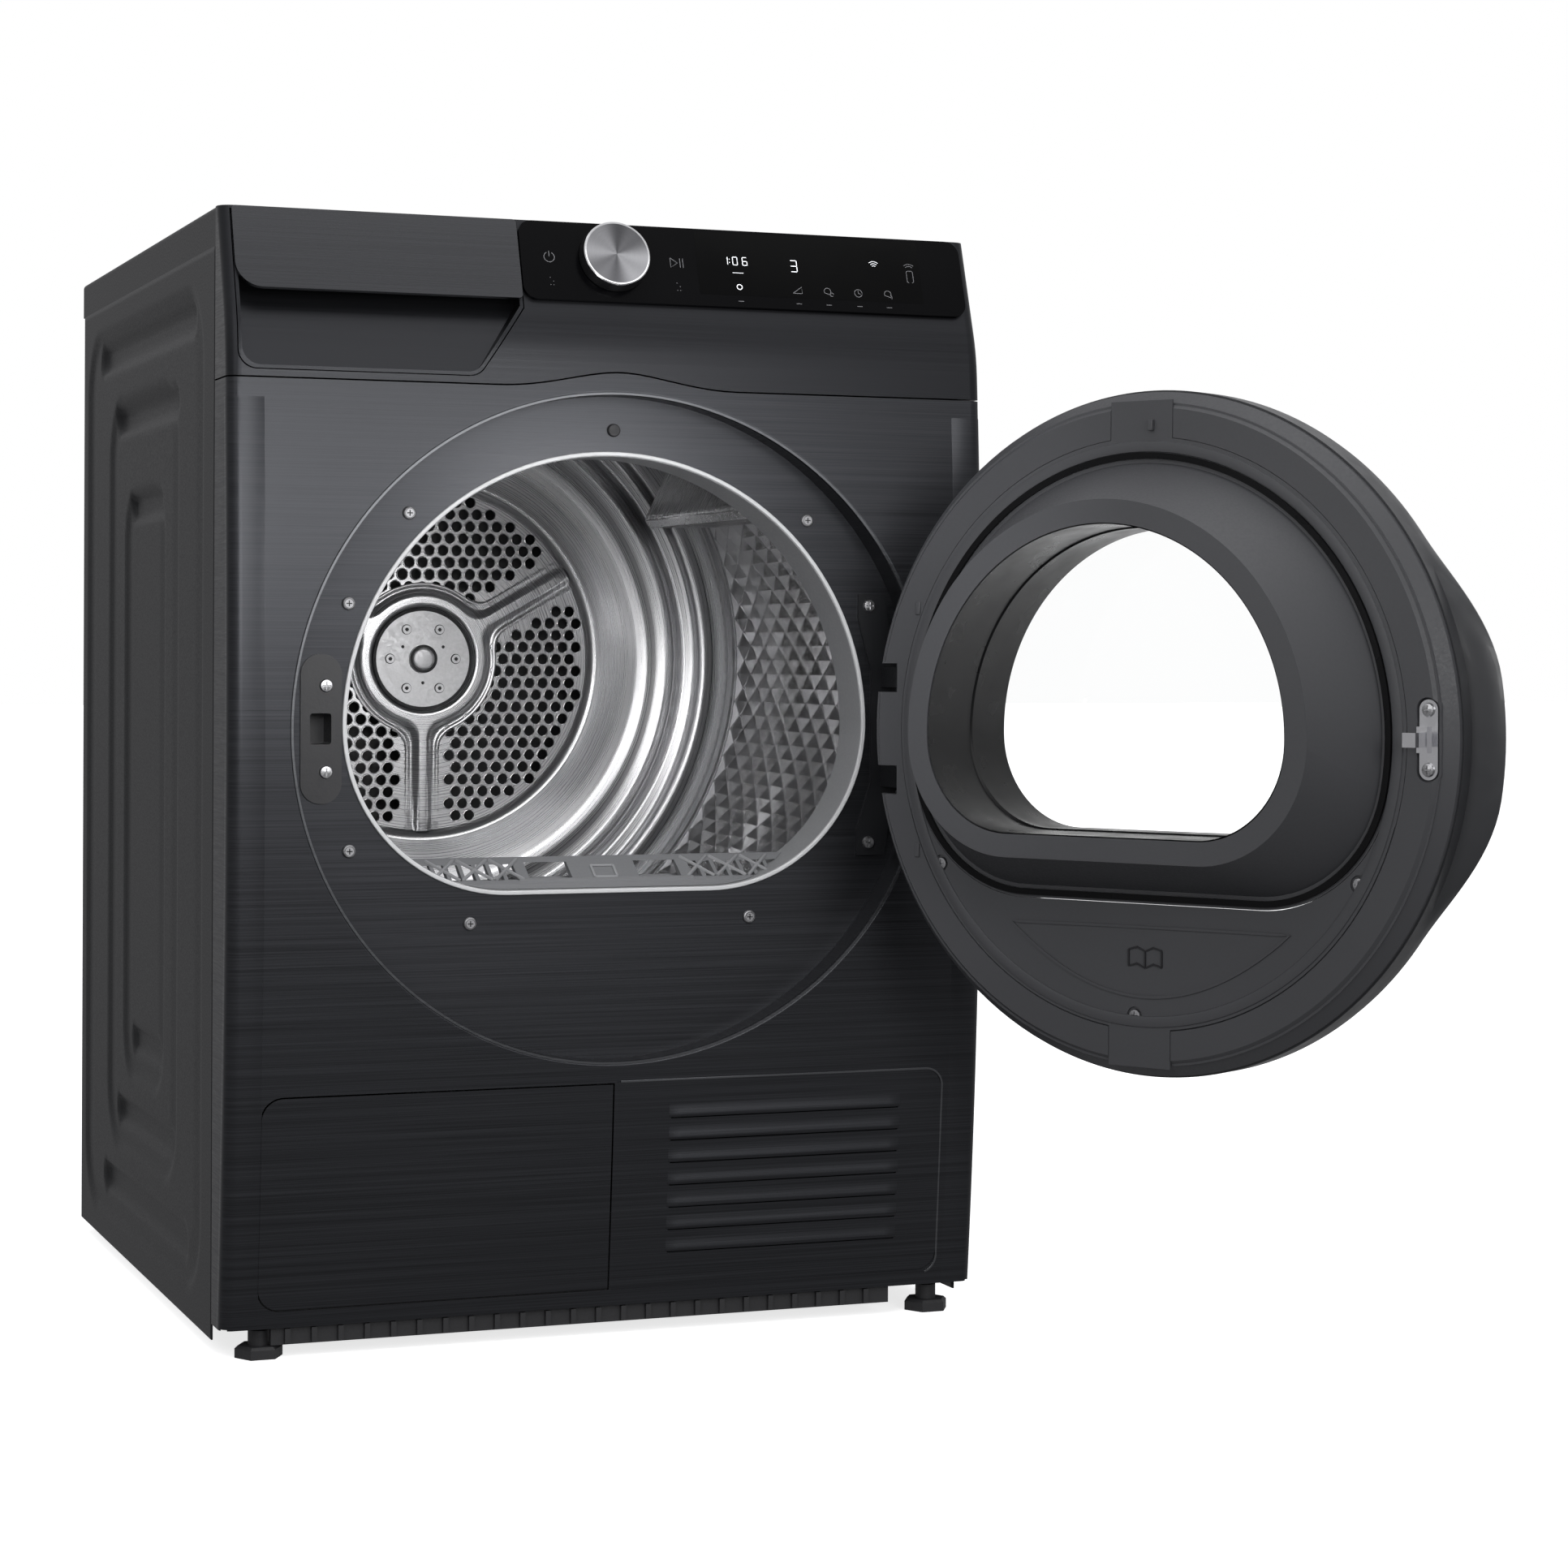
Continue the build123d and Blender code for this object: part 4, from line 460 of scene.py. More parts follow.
piece("louvre_hoods", points, faces, front_steel, "cabinet", sharp=50)

# ---------------------------------------------------------------------------
# The fascia, the water drawer's front and its finger pocket: moulded pieces
# lacquered to match the steel, the drawer's front with more gloss.
# ---------------------------------------------------------------------------
fascia_finish = brushed("graphite_fascia", (0.022, 0.0228, 0.0258), 0.36, contrast=0.05)
paint(fascia_finish, "fascia", "drawer_liner")
drawer_finish = brushed("graphite_drawer_front", (0.036, 0.037, 0.041), 0.26, contrast=0.04, coat=0.5)
paint(drawer_finish, "drawer_front")

# ---------------------------------------------------------------------------
# The control strip: a black glass plate over the display, with printed and
# lit signs a hair above it, and the turned aluminium knob on its spindle.
# ---------------------------------------------------------------------------
strip_lean = math.radians(18.7)
strip_y, strip_z, glass_top = -307.688, 775.0, 3.5


def on_strip(a, b, height):
    """Points of the leaning strip: a across, b up its face, height off the glass, turned by the lean."""
    out = glass_top + height
    y = strip_y + b * math.sin(strip_lean) - out * math.cos(strip_lean)
    z = strip_z + b * math.cos(strip_lean) + out * math.sin(strip_lean)
    return np.stack(np.broadcast_arrays(a, y, z), -1)


console_black = Finish("console_black_glass", (0.0016, 0.0016, 0.0020), 0.16, 0.0, Specular_IOR_Level=0.07)
smear = console_black.noise((9.0, 9.0, 9.0), 4.0)
console_black.feed("Roughness", console_black.span(smear, 0.3, 0.7, 0.12, 0.22))
paint(console_black, "console_glass")

# ---------------------------------------------------------------------------
# The display field: a darker window printed behind the glass, over the
# lit signs' board; here a thin plate a tenth of a millimetre proud.
# ---------------------------------------------------------------------------
def rounded_line(a0, a1, b0, b1, radius, count=8):
    """Closed flat line in mm round a rectangle with round corners."""
    corners = [(a1 - radius, b0 + radius, -90), (a1 - radius, b1 - radius, 0),
               (a0 + radius, b1 - radius, 90), (a0 + radius, b0 + radius, 180)]
    return np.concatenate([arc(a, b, radius, turn, turn + 90, count) for a, b, turn in corners])


display_rise = 0.12
display_finish = Finish("display_panel", (0.0004, 0.0004, 0.0005), 0.10, 0.0, Specular_IOR_Level=0.10)
display_finish.feed("Roughness", display_finish.span(display_finish.noise((14, 14, 14)), 0.3, 0.7, 0.08, 0.14))
outline = rounded_line(68, 255, 21.5, 74.0, 1.5, 5)
count = len(outline)
points = np.concatenate([on_strip(outline[:, 0], outline[:, 1], rise) for rise in (0.0, display_rise)]) * mm
faces = [(i, (i + 1) % count, count + (i + 1) % count, count + i) for i in range(count)]
faces += [tuple(range(count, 2 * count)), tuple(range(count - 1, -1, -1))]
piece("display_field", points, faces, display_finish, "cabinet", smooth=False)

# ---------------------------------------------------------------------------
# The strip's signs: figures that the lamps behind the glass light up, and a
# row of touch marks printed on it in grey.  All are generic.
# ---------------------------------------------------------------------------
lit = Finish("lit_signs", (0.8, 0.82, 0.85), 0.5, Emission_Strength=1.0)
lit.feed("Emission Color", lit.between(lit.noise((300, 300, 300)), (0.75, 0.78, 0.82), (0.85, 0.87, 0.9)))
printed = Finish("printed_signs", (0.11, 0.11, 0.115), 0.6)
printed.feed("Base Color", printed.between(printed.noise((900, 900, 900)), (0.14, 0.14, 0.15),
                                            (0.20, 0.20, 0.21)))


def digit(a, b, size, bars):
    """Strokes of a seven-bar digit centred on (a, b): bars names the lit ones."""
    w, h = size * 0.28, size * 0.5
    ends = {"top": ((-w, h), (w, h)), "mid": ((-w, 0), (w, 0)), "low": ((-w, -h), (w, -h)),
            "ul": ((-w, h), (-w, 0)), "ll": ((-w, 0), (-w, -h)), "ur": ((w, h), (w, 0)),
            "lr": ((w, 0), (w, -h))}
    made = []
    for bar in bars.split():
        start, end = np.array(ends[bar][0]), np.array(ends[bar][1])
        inset = (end - start) * 0.06
        made.append(np.array([start + inset, end - inset]) + (a, b))
    return made


def signs(name, strokes, finish, width, closed=()):
    """One piece of thin strokes on the glass."""
    parts = [ribbon(line, width, on_strip, closed=i in closed, thick=0.15) for i, line in enumerate(strokes)]
    points, faces = gather(*parts)
    piece(name, points, faces, finish, "cabinet", smooth=False)


mark_b = 16.6
three = digit(148, 48.5, 9.5, "top mid low ur lr")
signs("lit_programme", three + [arc(101, 28.6, 2.1, 0, 345, 20)], lit, 0.6, closed=(5,))
clock = []
for place, bars in ((91.5, "ur lr"), (99.5, "top low ul ll ur lr"), (107.5, "top mid low ul ll lr")):
    clock += digit(place, 50.5, 6.6, bars)
clock += [np.array([(94.9, 52.2), (94.9, 51.4)]), np.array([(94.9, 49.6), (94.9, 48.8)])]
signs("lit_time", clock, lit, 0.55)
wifi = [arc(216, 50.0, r, 50, 130, 10) for r in (2.2, 4.0, 5.8)]
small = [np.array([(96.5, 40.5), (105.5, 40.5)])]
signs("lit_small", wifi + small, lit, 0.4)
power = [arc(-51, 46.5, 4.1, 118, 422, 30), np.array([(-51, 47.0), (-51, 51.5)])]
play = [np.array([(46.2, 50.4), (46.2, 42.6), (52.0, 46.5), (46.2, 50.4)]),
        np.array([(54.0, 50.4), (54.0, 42.6)]), np.array([(56.4, 50.4), (56.4, 42.6)])]
phone = [rounded_line(243.3, 248.7, 39, 49, 1.4, 5), arc(246, 48.5, 4.6, 50, 130, 8),
         arc(246, 48.5, 6.4, 50, 130, 8)]
wedge = [np.array([(145, 25.4), (152.6, 25.4), (152.6, 31), (145, 25.4)])]
hand_left = [arc(174, 28.2, 2.8, -40, 200, 14), np.array([(171.4, 27), (176.6, 25.2)]),
             arc(177.5, 25.6, 1.5, 0, 300, 10)]
dial = [arc(200, 27.8, 3.2, 0, 345, 20), np.array([(200, 30.0), (200, 27.8), (201.8, 27.0)])]
hand_right = [arc(225, 28.2, 2.8, -40, 200, 14), np.array([(222.4, 27), (227.6, 25.2)]),
              np.array([(228.2, 24.2), (228.2, 27)])]
marks = [np.array([(a - 2.2, mark_b), (a + 2.2, mark_b)]) for a in (101, 149, 174, 200, 225)]
bumps = [np.array([(a + i * 2.4, 29.5 - j * 3.0), (a + i * 2.4 + 0.6, 29.5 - j * 3.0)])
         for a in (-52.0, 49.5) for i in range(2) for j in range(3) if (i + j) % 3 != 1]
strokes = power + play + phone + wedge + hand_left + dial + hand_right + marks + bumps
signs("printed_row", strokes, printed, 0.48)

# ---------------------------------------------------------------------------
# The programme knob: solid aluminium with a finely turned face whose colour carries painted
# highlights, a bright diamond-cut edge and a dark skirt, pushed on the switch's spindle.
# ---------------------------------------------------------------------------
knob_finish = Finish("turned_aluminium_with_painted_highlights", (0.42, 0.42, 0.43), 0.34, 1.0, Anisotropic=0.4)
knob_b, knob_sides = 47.0, 96
knob_place = tuple(c * mm for c in on_strip(0.0, knob_b, 12.0))
local = knob_finish.node("ShaderNodeMapping", Vector=knob_finish.coords(centre=knob_place),
                         Rotation=(-(math.pi / 2 - strip_lean), 0.0, 0.0))
axes = knob_finish.node("ShaderNodeSeparateXYZ", Vector=local)
across, along = axes, Value(knob_finish, axes.socket.node.outputs[1])
turn = knob_finish.node("ShaderNodeMath", {"operation": "ARCTAN2"}, **{"0": along, "1": across})
# Light and dark wedges by the angle round the axis, two and six to a turn, are painted highlights of the turned
# face; the turned lines are its real grain.
painted_highlight_wedges = knob_finish.node("ShaderNodeMath", {"operation": "COSINE"}, **{"0": turn * 2.0 + 0.9})
fan = knob_finish.node("ShaderNodeMath", {"operation": "COSINE"}, **{"0": turn * 6.0 + 0.4})
far = knob_finish.node("ShaderNodeVectorMath", {"operation": "LENGTH"}, out="Value", **{"0": local})
lines = knob_finish.node("ShaderNodeTexNoise", {"noise_dimensions": "1D"}, W=far * 9000.0, Scale=1.0, Detail=2.0)
painted_highlights_and_turned_lines = painted_highlight_wedges * 0.34 + fan * 0.12 + lines * 0.16 + 0.44
knob_finish.feed("Base Color", knob_finish.between(painted_highlights_and_turned_lines, (0.06, 0.06, 0.065), (0.40, 0.40, 0.415)))
knob_finish.feed("Roughness", knob_finish.span(lines, 0.3, 0.7, 0.26, 0.4))
knob_edge = Finish("knob_bright_edge", (0.86, 0.86, 0.87), 0.12, 1.0)
knob_edge.feed("Roughness", knob_edge.span(knob_edge.noise((200, 200, 200)), 0.3, 0.7, 0.1, 0.2))
knob_skirt = Finish("knob_dark_skirt", (0.09, 0.09, 0.095), 0.3, 0.9)
knob_skirt.feed("Roughness", knob_skirt.span(knob_skirt.noise((40, 40, 900)), 0.3, 0.7, 0.25, 0.38))


def on_knob(profile, name, finish, *replaced):
    """Turns a (radius, height) profile round the knob's own axis on the strip."""
    profile = np.asarray(profile, float)
    angle = np.linspace(0, 2 * math.pi, knob_sides, endpoint=False)
    r, h = profile[:, :1], profile[:, 1:]
    grid = on_strip(r * np.cos(angle), knob_b + r * np.sin(angle), h)
    faces = quads(len(profile), knob_sides, close_columns=True)
    piece(name, grid * mm, faces, finish, "knob", *replaced, sharp=35)


on_knob([(0.01, 10.2), (8, 10.35), (18, 10.8), (24.6, 11.4)], "knob_face", knob_finish, "knob")
on_knob([(24.6, 11.4), (25.6, 11.5), (26.3, 10.9), (26.5, 10.0)], "knob_bright_ring", knob_edge)
on_knob([(26.5, 10.0), (26.8, 7.0), (27.4, 1.6), (27.3, 0.9), (26.4, 0.5), (0.01, 0.5)], "knob_skirt", knob_skirt)

# ---------------------------------------------------------------------------
# The drum: rolled stainless sheet.  The wall is embossed with rows of small
# pyramids; the back is deep drawn, perforated and stiffened by three spokes.
# ---------------------------------------------------------------------------
drum_z, drum_back_y, drum_radius = 514.0, 262.0, 286.0
drum_centre = (0.0, 0.0, drum_z * mm)


def steel(name, colour, roughness, grain):
    """Bare stainless with grain lines and faint staining."""
    made = Finish(name, colour, roughness, 1.0)
    lines = made.noise(grain, 3.0)
    stain = made.noise((9.0, 9.0, 9.0), 3.0)
    tone = lines * 0.5 + stain * 0.5
    made.feed("Base Color", made.between(made.span(tone, 0.36, 0.64, 0.0, 1.0),
                                         tuple(c * 0.82 for c in colour),
                                         tuple(min(c * 1.12, 1.0) for c in colour)))
    made.feed("Roughness", made.span(lines, 0.35, 0.65, roughness - 0.06, roughness + 0.08))
    made.relief(lines, 0.00003)
    return made


drum_steel = steel("drum_stainless", (0.74, 0.74, 0.75), 0.24, (40.0, 900.0, 40.0))
spun = Finish("spun_drum_back", (0.62, 0.62, 0.63), 0.30, 1.0)
flat = spun.node("ShaderNodeVectorMath", {"operation": "MULTIPLY"},
                 **{"0": spun.coords(centre=drum_centre), "1": (1.0, 0.0, 1.0)})
out = spun.node("ShaderNodeVectorMath", {"operation": "LENGTH"}, out="Value", **{"0": flat})
turned_lines = spun.node("ShaderNodeTexNoise", {"noise_dimensions": "1D"}, W=out * 1500.0, Scale=1.0, Detail=3.0)
spun.feed("Base Color", spun.between(spun.span(turned_lines, 0.35, 0.65, 0.0, 1.0), (0.40, 0.40, 0.41),
                                      (0.60, 0.60, 0.61)))
spun.feed("Roughness", spun.span(turned_lines, 0.35, 0.65, 0.24, 0.38))
paint(drum_steel, "drum_shell", "drum_lifters", "drum_shaft")
paint(spun, "drum_back", "hub_plate")

# ---------------------------------------------------------------------------
# The drum wall's embossing: rows of small pyramids rolled into the sheet,
# every other point of a grid pushed in, with mirror-bright facets.
# ---------------------------------------------------------------------------
diamond_start, diamond_pitch, diamond_rows, around = -160.0, 18.0, 21, 140
diamond_height = 4.6
y = diamond_start + diamond_pitch * np.arange(diamond_rows)
turns = np.arange(around) * 2 * math.pi / around
row, column = np.meshgrid(np.arange(diamond_rows), np.arange(around), indexing="ij")
raised = ((row + column) % 2 == 0) & (row > 0) & (row < diamond_rows - 1)
radius = drum_radius - 0.5 - diamond_height * raised
grid = np.stack([radius * np.cos(turns), np.broadcast_to(y[:, None], row.shape),
                 drum_z + radius * np.sin(turns)], -1)
cells = quads(diamond_rows, around, close_columns=True)
even = ((cells[:, 0] // around + cells[:, 0] % around) % 2 == 0)[:, None]
faces = np.stack([np.where(even, cells[:, [1, 2, 3]], cells[:, [0, 1, 2]]),
                  np.where(even, cells[:, [1, 3, 0]], cells[:, [0, 2, 3]])], 1).reshape(-1, 3)
facet_steel = Finish("facet_steel", (0.86, 0.86, 0.87), 0.13, 1.0)
facet_stain = facet_steel.noise((12.0, 12.0, 12.0), 3.0)
facet_steel.feed("Roughness", facet_steel.span(facet_stain, 0.3, 0.7, 0.09, 0.18))
facet_steel.feed("Base Color", facet_steel.between(facet_stain, (0.80, 0.80, 0.81), (0.92, 0.92, 0.93)))
piece("embossed_drum_wall", grid * mm, faces, facet_steel, "drum", smooth=False)

# ---------------------------------------------------------------------------
# The drum's ring beads: plain bands at both ends of the wall, and the rings
# spun into the rim of the back, where the two sheets are seamed.
# ---------------------------------------------------------------------------
def lathe(profile, x, z, count):
    """A (radius, y) profile in mm turned round the Y line through (x, z): the points and faces."""
    profile = np.asarray(profile, float)
    angle = np.radians(np.linspace(0.0, 360.0, count, endpoint=False))
    radius, depth = profile[:, :1], profile[:, 1:]
    grid = np.stack(np.broadcast_arrays(x + radius * np.cos(angle), depth, z + radius * np.sin(angle)), -1)
    return grid * mm, quads(len(profile), count, close_columns=True, flip=True)


def bent(points, count, radius):
    """Rounds the corners of a (radius, y) profile with arcs of a given size in mm."""
    points = np.asarray(points, float)
    made = [points[:1]]
    for before, here, after in zip(points[:-2], points[1:-1], points[2:]):
        back, ahead = before - here, after - here
        reach_back, reach_ahead = np.linalg.norm(back), np.linalg.norm(ahead)
        cut = min(radius, 0.45 * reach_back, 0.45 * reach_ahead)
        a, b = here + back / reach_back * cut, here + ahead / reach_ahead * cut
        t = np.linspace(0.0, 1.0, count)[:, None]
        made.append((1 - t) ** 2 * a + 2 * t * (1 - t) * here + t ** 2 * b)
    made.append(points[-1:])
    return np.concatenate(made)


front_band = [(drum_radius - 0.6, -240), (drum_radius - 0.5, -168), (drum_radius - 2.2, -165),
              (drum_radius - 0.5, -162)]
rear_band = [(drum_radius - 0.4, 201), (drum_radius - 0.5, 206), (drum_radius - 2.4, 208.5),
             (drum_radius - 0.5, 211), (drum_radius - 0.5, 224), (drum_radius - 2.0, 226.5),
             (drum_radius - 0.6, 229)]
back_profile = [(157, 261.8), (160.5, 257.6), (165, 255.4), (170, 256.0), (178, 256.4), (192, 256.4), (206, 255.2),
                (214, 252.6), (222, 247.6), (231, 243.6), (239, 245), (245, 251.5), (250, 254.5), (255, 252),
                (260, 249.6), (264, 251), (268, 253.6), (272, 252), (278, 247), (282, 241.5), (285.3, 234),
                (285.5, 228)]
parts = [lathe(bent(line, 5, 2.4), 0, drum_z, 160) for line in (front_band, rear_band, back_profile)]
points, faces = gather(*parts)
piece("drum_ring_beads", points, faces, spun, "drum", sharp=60)

# ---------------------------------------------------------------------------
# The star pressed round the hub: three ribs that flare into one raised ring,
# with a groove and a low lip along every side.
# ---------------------------------------------------------------------------
hub_hole, star_reach, star_ring, rib_half, rib_flare = 46.2, 158, 60.0, 5.5, 16.0
u, t = np.meshgrid(np.linspace(hub_hole, star_reach, 76), np.radians(np.arange(0, 360, 0.75)), indexing="ij")
edge = u - star_ring
for angle in (30, 150, 270):
    c, s = math.cos(math.radians(angle)), math.sin(math.radians(angle))
    along, across = u * np.cos(t) * c + u * np.sin(t) * s, u * np.sin(t) * c - u * np.cos(t) * s
    rib = np.where(along > 0, np.abs(across) - rib_half, 90.0)
    blend = np.clip(0.5 + 0.5 * (rib - edge) / rib_flare, 0, 1)
    edge = rib * (1 - blend) + edge * blend - rib_flare * blend * (1 - blend)
height = 5.6 * (1 - step(edge, -2.5, 5.0)) + 1.7 * np.exp(-((edge - 8.6) / 1.5) ** 2) + 0.12
height -= 4.5 * (1 - step(u, 46, 50)) + 1.2 * step(u, 150, 158)
grid = np.stack([u * np.cos(t), drum_back_y - np.maximum(height, 0.05), drum_z + u * np.sin(t)], -1)
faces = quads(*u.shape, close_columns=True)
kept = edge.reshape(-1)[faces].max(1) < 11.2
piece("pressed_star", grid * mm, faces[kept][:, ::-1], spun, "drum", sharp=80)

# ---------------------------------------------------------------------------
# Rolled rims round the air holes of the drum's back: the punch leaves one
# wire-thin ring of bright steel round each hole.
# ---------------------------------------------------------------------------
hole_pitch, hole_radius, spoke_half, hole_rows = 12.8, 4.75, 15.0, 14
hole_ring_in, hole_ring_out = 66, 156
places = []
for r in range(-hole_rows, hole_rows + 1):
    for k in range(-hole_rows, hole_rows + 1):
        x = (k + 0.5 * (r % 2)) * hole_pitch
        z = r * hole_pitch * math.sqrt(3) / 2
        far = math.hypot(x, z)
        clear = min((abs(x * math.sin(math.radians(t)) - z * math.cos(math.radians(t)))
                     if x * math.cos(math.radians(t)) + z * math.sin(math.radians(t)) > 0 else 99)
                    for t in (30, 150, 270))
        if hole_ring_in + hole_radius < far < hole_ring_out - hole_radius and clear > spoke_half + hole_radius:
            places.append((x, z))
section = [(hole_radius - 0.05, 262.2), (hole_radius + 0.15, 261.1), (hole_radius + 0.75, 261.2),
           (hole_radius + 1.1, 261.95)]
rim_parts = [lathe(section, x, drum_z + z, 18) for x, z in places]
points, faces = gather(*rim_parts)
bright = steel("bright_steel", (0.82, 0.82, 0.83), 0.2, (200.0, 200.0, 200.0))
piece("hole_rims", points, faces, bright, "drum", sharp=70)

# ---------------------------------------------------------------------------
# The hub: a satin steel plate with a groove, a domed centre and six
# socket screws; the dark marks in each groove and socket are painted shade.
# ---------------------------------------------------------------------------
satin = steel("hub_satin_steel", (0.55, 0.55, 0.56), 0.42, (300.0, 300.0, 300.0))
paint(satin, "hub_plate")
# One near-black finish: the plug's own dark plastic, and painted shade laid in grooves and recesses.
dark_cap_and_painted_shade = Finish("dark_cap_and_painted_groove_shade", (0.02, 0.02, 0.022), 0.6)
dark_cap_and_painted_shade.feed("Roughness", dark_cap_and_painted_shade.span(dark_cap_and_painted_shade.noise((400, 400, 400)), 0.3, 0.7, 0.5, 0.7))
dome = [(0.01, 254.6), (4, 254.7), (8, 254.9), (9.6, 255.3), (10.2, 256.1)]
points, faces = lathe(bent(dome, 4, 2), 0, drum_z, 64)
piece("hub_dome", points, faces, satin, "drum")
screw_circle, pin_circle = 31, 22
# Dark rings and discs in the hub's groove, sockets and pin holes: painted shade.
painted_groove_shade = [lathe([(10.2, 255.9), (12.9, 255.9)], 0, drum_z, 64),
           lathe([(44.0, 258.85), (46.8, 258.85)], 0, drum_z, 96)]
for index in range(6):
    a = math.radians(60 * index)
    x, z = screw_circle * math.cos(a), drum_z + screw_circle * math.sin(a)
    painted_groove_shade.append(lathe([(0.01, 257.3), (1.9, 257.3)], x, z, 6))
    painted_groove_shade.append(lathe([(4.0, 258.9), (4.7, 258.9)], x, z, 28))
for index in range(3):
    a = math.radians(120 * index + 30)
    x, z = pin_circle * math.cos(a), drum_z + pin_circle * math.sin(a)
    painted_groove_shade.append(lathe([(0.01, 258.9), (1.5, 258.9)], x, z, 20))
points, faces = gather(*painted_groove_shade)
piece("hub_painted_shade_marks", points, faces, dark_cap_and_painted_shade, "drum", smooth=False)

# ---------------------------------------------------------------------------
# The heads of the front screws: flat satin steel faces with cross recesses,
# set on the six screws round the door opening; a dark ring and cross on each face are painted shade for the
# recesses.
# ---------------------------------------------------------------------------
def beam(start, end, across, tall, up=(0, -1, 0)):
    """Square bar in mm from start to end, with its height along up."""
    start, end, up = (np.asarray(v, float) for v in (start, end, up))
    along = end - start
    side = np.cross(along, up)
    side /= np.linalg.norm(side)
    lift = np.cross(side, along)
    lift /= np.linalg.norm(lift)
    ring = [-side * across / 2 - lift * tall / 2, side * across / 2 - lift * tall / 2,
            side * across / 2 + lift * tall / 2, -side * across / 2 + lift * tall / 2]
    points = np.array([start + v for v in ring] + [end + v for v in ring]) * mm
    faces = [(0, 1, 5, 4), (1, 2, 6, 5), (2, 3, 7, 6), (3, 0, 4, 7), (3, 2, 1, 0), (4, 5, 6, 7)]
    return points, faces


screw_satin = steel("screw_satin_face", (0.34, 0.34, 0.35), 0.5, (500.0, 500.0, 500.0))
head_faces, painted_recess_shade = [], []
screw_places = [(-159, 624), (160, 624), (-205, 556), (-204, 372), (-111, 316), (113, 316)]
screw_seat, head_height = -295.5, 2.5
head_y = screw_seat - head_height
for x, z in screw_places:
    head_faces.append(lathe([(0.01, head_y), (3.9, head_y), (4.6, head_y + 0.5), (5.05, head_y + 1.6)], x, z, 32))
    # Painted shade on each face: a dark ring and a flat dark cross standing for the recesses.
    painted_recess_shade.append(lathe([(3.3, head_y - 0.05), (3.7, head_y - 0.05)], x, z, 32))
    for dx, dz in ((2.2, 0.0), (0.0, 2.2)):
        painted_recess_shade.append(beam((x - dx, head_y - 0.05, z - dz), (x + dx, head_y - 0.05, z + dz), 0.9, 0.1))
points, faces = gather(*head_faces)
piece("front_screw_faces", points, faces, screw_satin, "cabinet", sharp=30)
points, faces = gather(*painted_recess_shade)
piece("front_screw_painted_recess_shade", points, faces, dark_cap_and_painted_shade, "cabinet", smooth=False)

# ---------------------------------------------------------------------------
# The plug above the opening: a small dark moulded cap with a domed face,
# pushed into a round hole in the front sheet.
# ---------------------------------------------------------------------------
cap = lathe(bent([(0.01, -298.9), (4.4, -298.7), (5.0, -297.6), (5.0, -295.4)], 4, 0.8), 1.0, 690.0, 40)
piece("plug_cap", *cap, dark_cap_and_painted_shade, "cabinet", sharp=60)

# ---------------------------------------------------------------------------
# The lifters' crests: a light steel bar fixed along the edge of each of the
# three paddles that lift the laundry.
# ---------------------------------------------------------------------------
crest_radius, crest_front, crest_rear = drum_radius - 58.0, -72, 182
parts = []
for index in range(3):
    a = math.radians(33 + 120 * index)
    radial = np.array([math.cos(a), 0, math.sin(a)])
    middle = np.array([0, 0, drum_z]) + radial * (crest_radius + 0.4)
    parts.append(beam(middle + (0, crest_front, 0), middle + (0, crest_rear, 0), 9.0, 2.4, up=-radial))
points, faces = gather(*parts)
piece("lifter_crests", points, faces, bright, "drum", bevel=0.8 * mm, sharp=30)

# ---------------------------------------------------------------------------
# The opening: light grey moulded tunnel and lint filter with its crossed
# ribs, lipped by a thin white bezel line and a felt ring behind.
# ---------------------------------------------------------------------------
def moulded(name, colour, roughness, grain=500.0, depth=0.00006, spread=0.12, coat=0.0):
    """Moulded plastic: fine spark texture, slow colour drift, roughness that varies."""
    made = Finish(name, colour, roughness, 0.0, Coat_Weight=coat)
    fine = made.noise((grain, grain, grain), 2.0)
    slow = made.noise((6.0, 6.0, 6.0), 2.0)
    made.feed("Base Color", made.between(slow, tuple(c * (1 - spread) for c in colour),
                                         tuple(min(1.0, c * (1 + spread)) for c in colour)))
    made.feed("Roughness", made.span(fine, 0.3, 0.7, roughness - 0.06, roughness + 0.08))
    made.relief(fine, depth)
    return made


light_grey = moulded("light_grey_plastic", (0.25, 0.254, 0.262), 0.42)
mid_grey = moulded("mid_grey_plastic", (0.16, 0.163, 0.17), 0.45)
dark_plastic = moulded("dark_grey_plastic", (0.056, 0.057, 0.062), 0.48)
black_plastic = moulded("black_plastic", (0.012, 0.012, 0.014), 0.38)
white_line = moulded("white_bezel", (0.55, 0.555, 0.565), 0.35)
paint(mid_grey, "lint_filter")
paint(light_grey, "porthole_tunnel")
paint(white_line, "porthole_bezel")
paint(black_plastic, "catch_plate")


# The lint filter's crossed ribs and its finger square, moulded on the sloping face.
def on_slope(x, t, lift=0.6):
    """Point on the filter's sloping face, t from its front edge to its back edge."""
    return (x, -289.5 + 27.0 * t, 345.6 + 17.5 * t + lift)


parts = []
for sign in (-1, 1):
    for start, end in (((66, 0.1), (88, 0.9)), ((88, 0.1), (66, 0.9)), ((90, 0.1), (114, 0.9)),
                       ((114, 0.1), (90, 0.9)), ((116, 0.1), (138, 0.9)), ((138, 0.1), (116, 0.9))):
        low, high = on_slope(sign * start[0], start[1]), on_slope(sign * end[0], end[1])
        parts.append(beam(low, high, 2.2, 2.2, (0, 0, 1)))
square_half, square_front, square_back = 9, 0.15, 0.6
for t in (square_front, square_back):
    parts.append(beam(on_slope(-square_half, t), on_slope(square_half, t), 2.0, 1.6, (0, 0, 1)))
for x in (-square_half, square_half):
    parts.append(beam(on_slope(x, square_front), on_slope(x, square_back), 2.0, 1.6, (0, 0, 1)))
points, faces = gather(*parts)
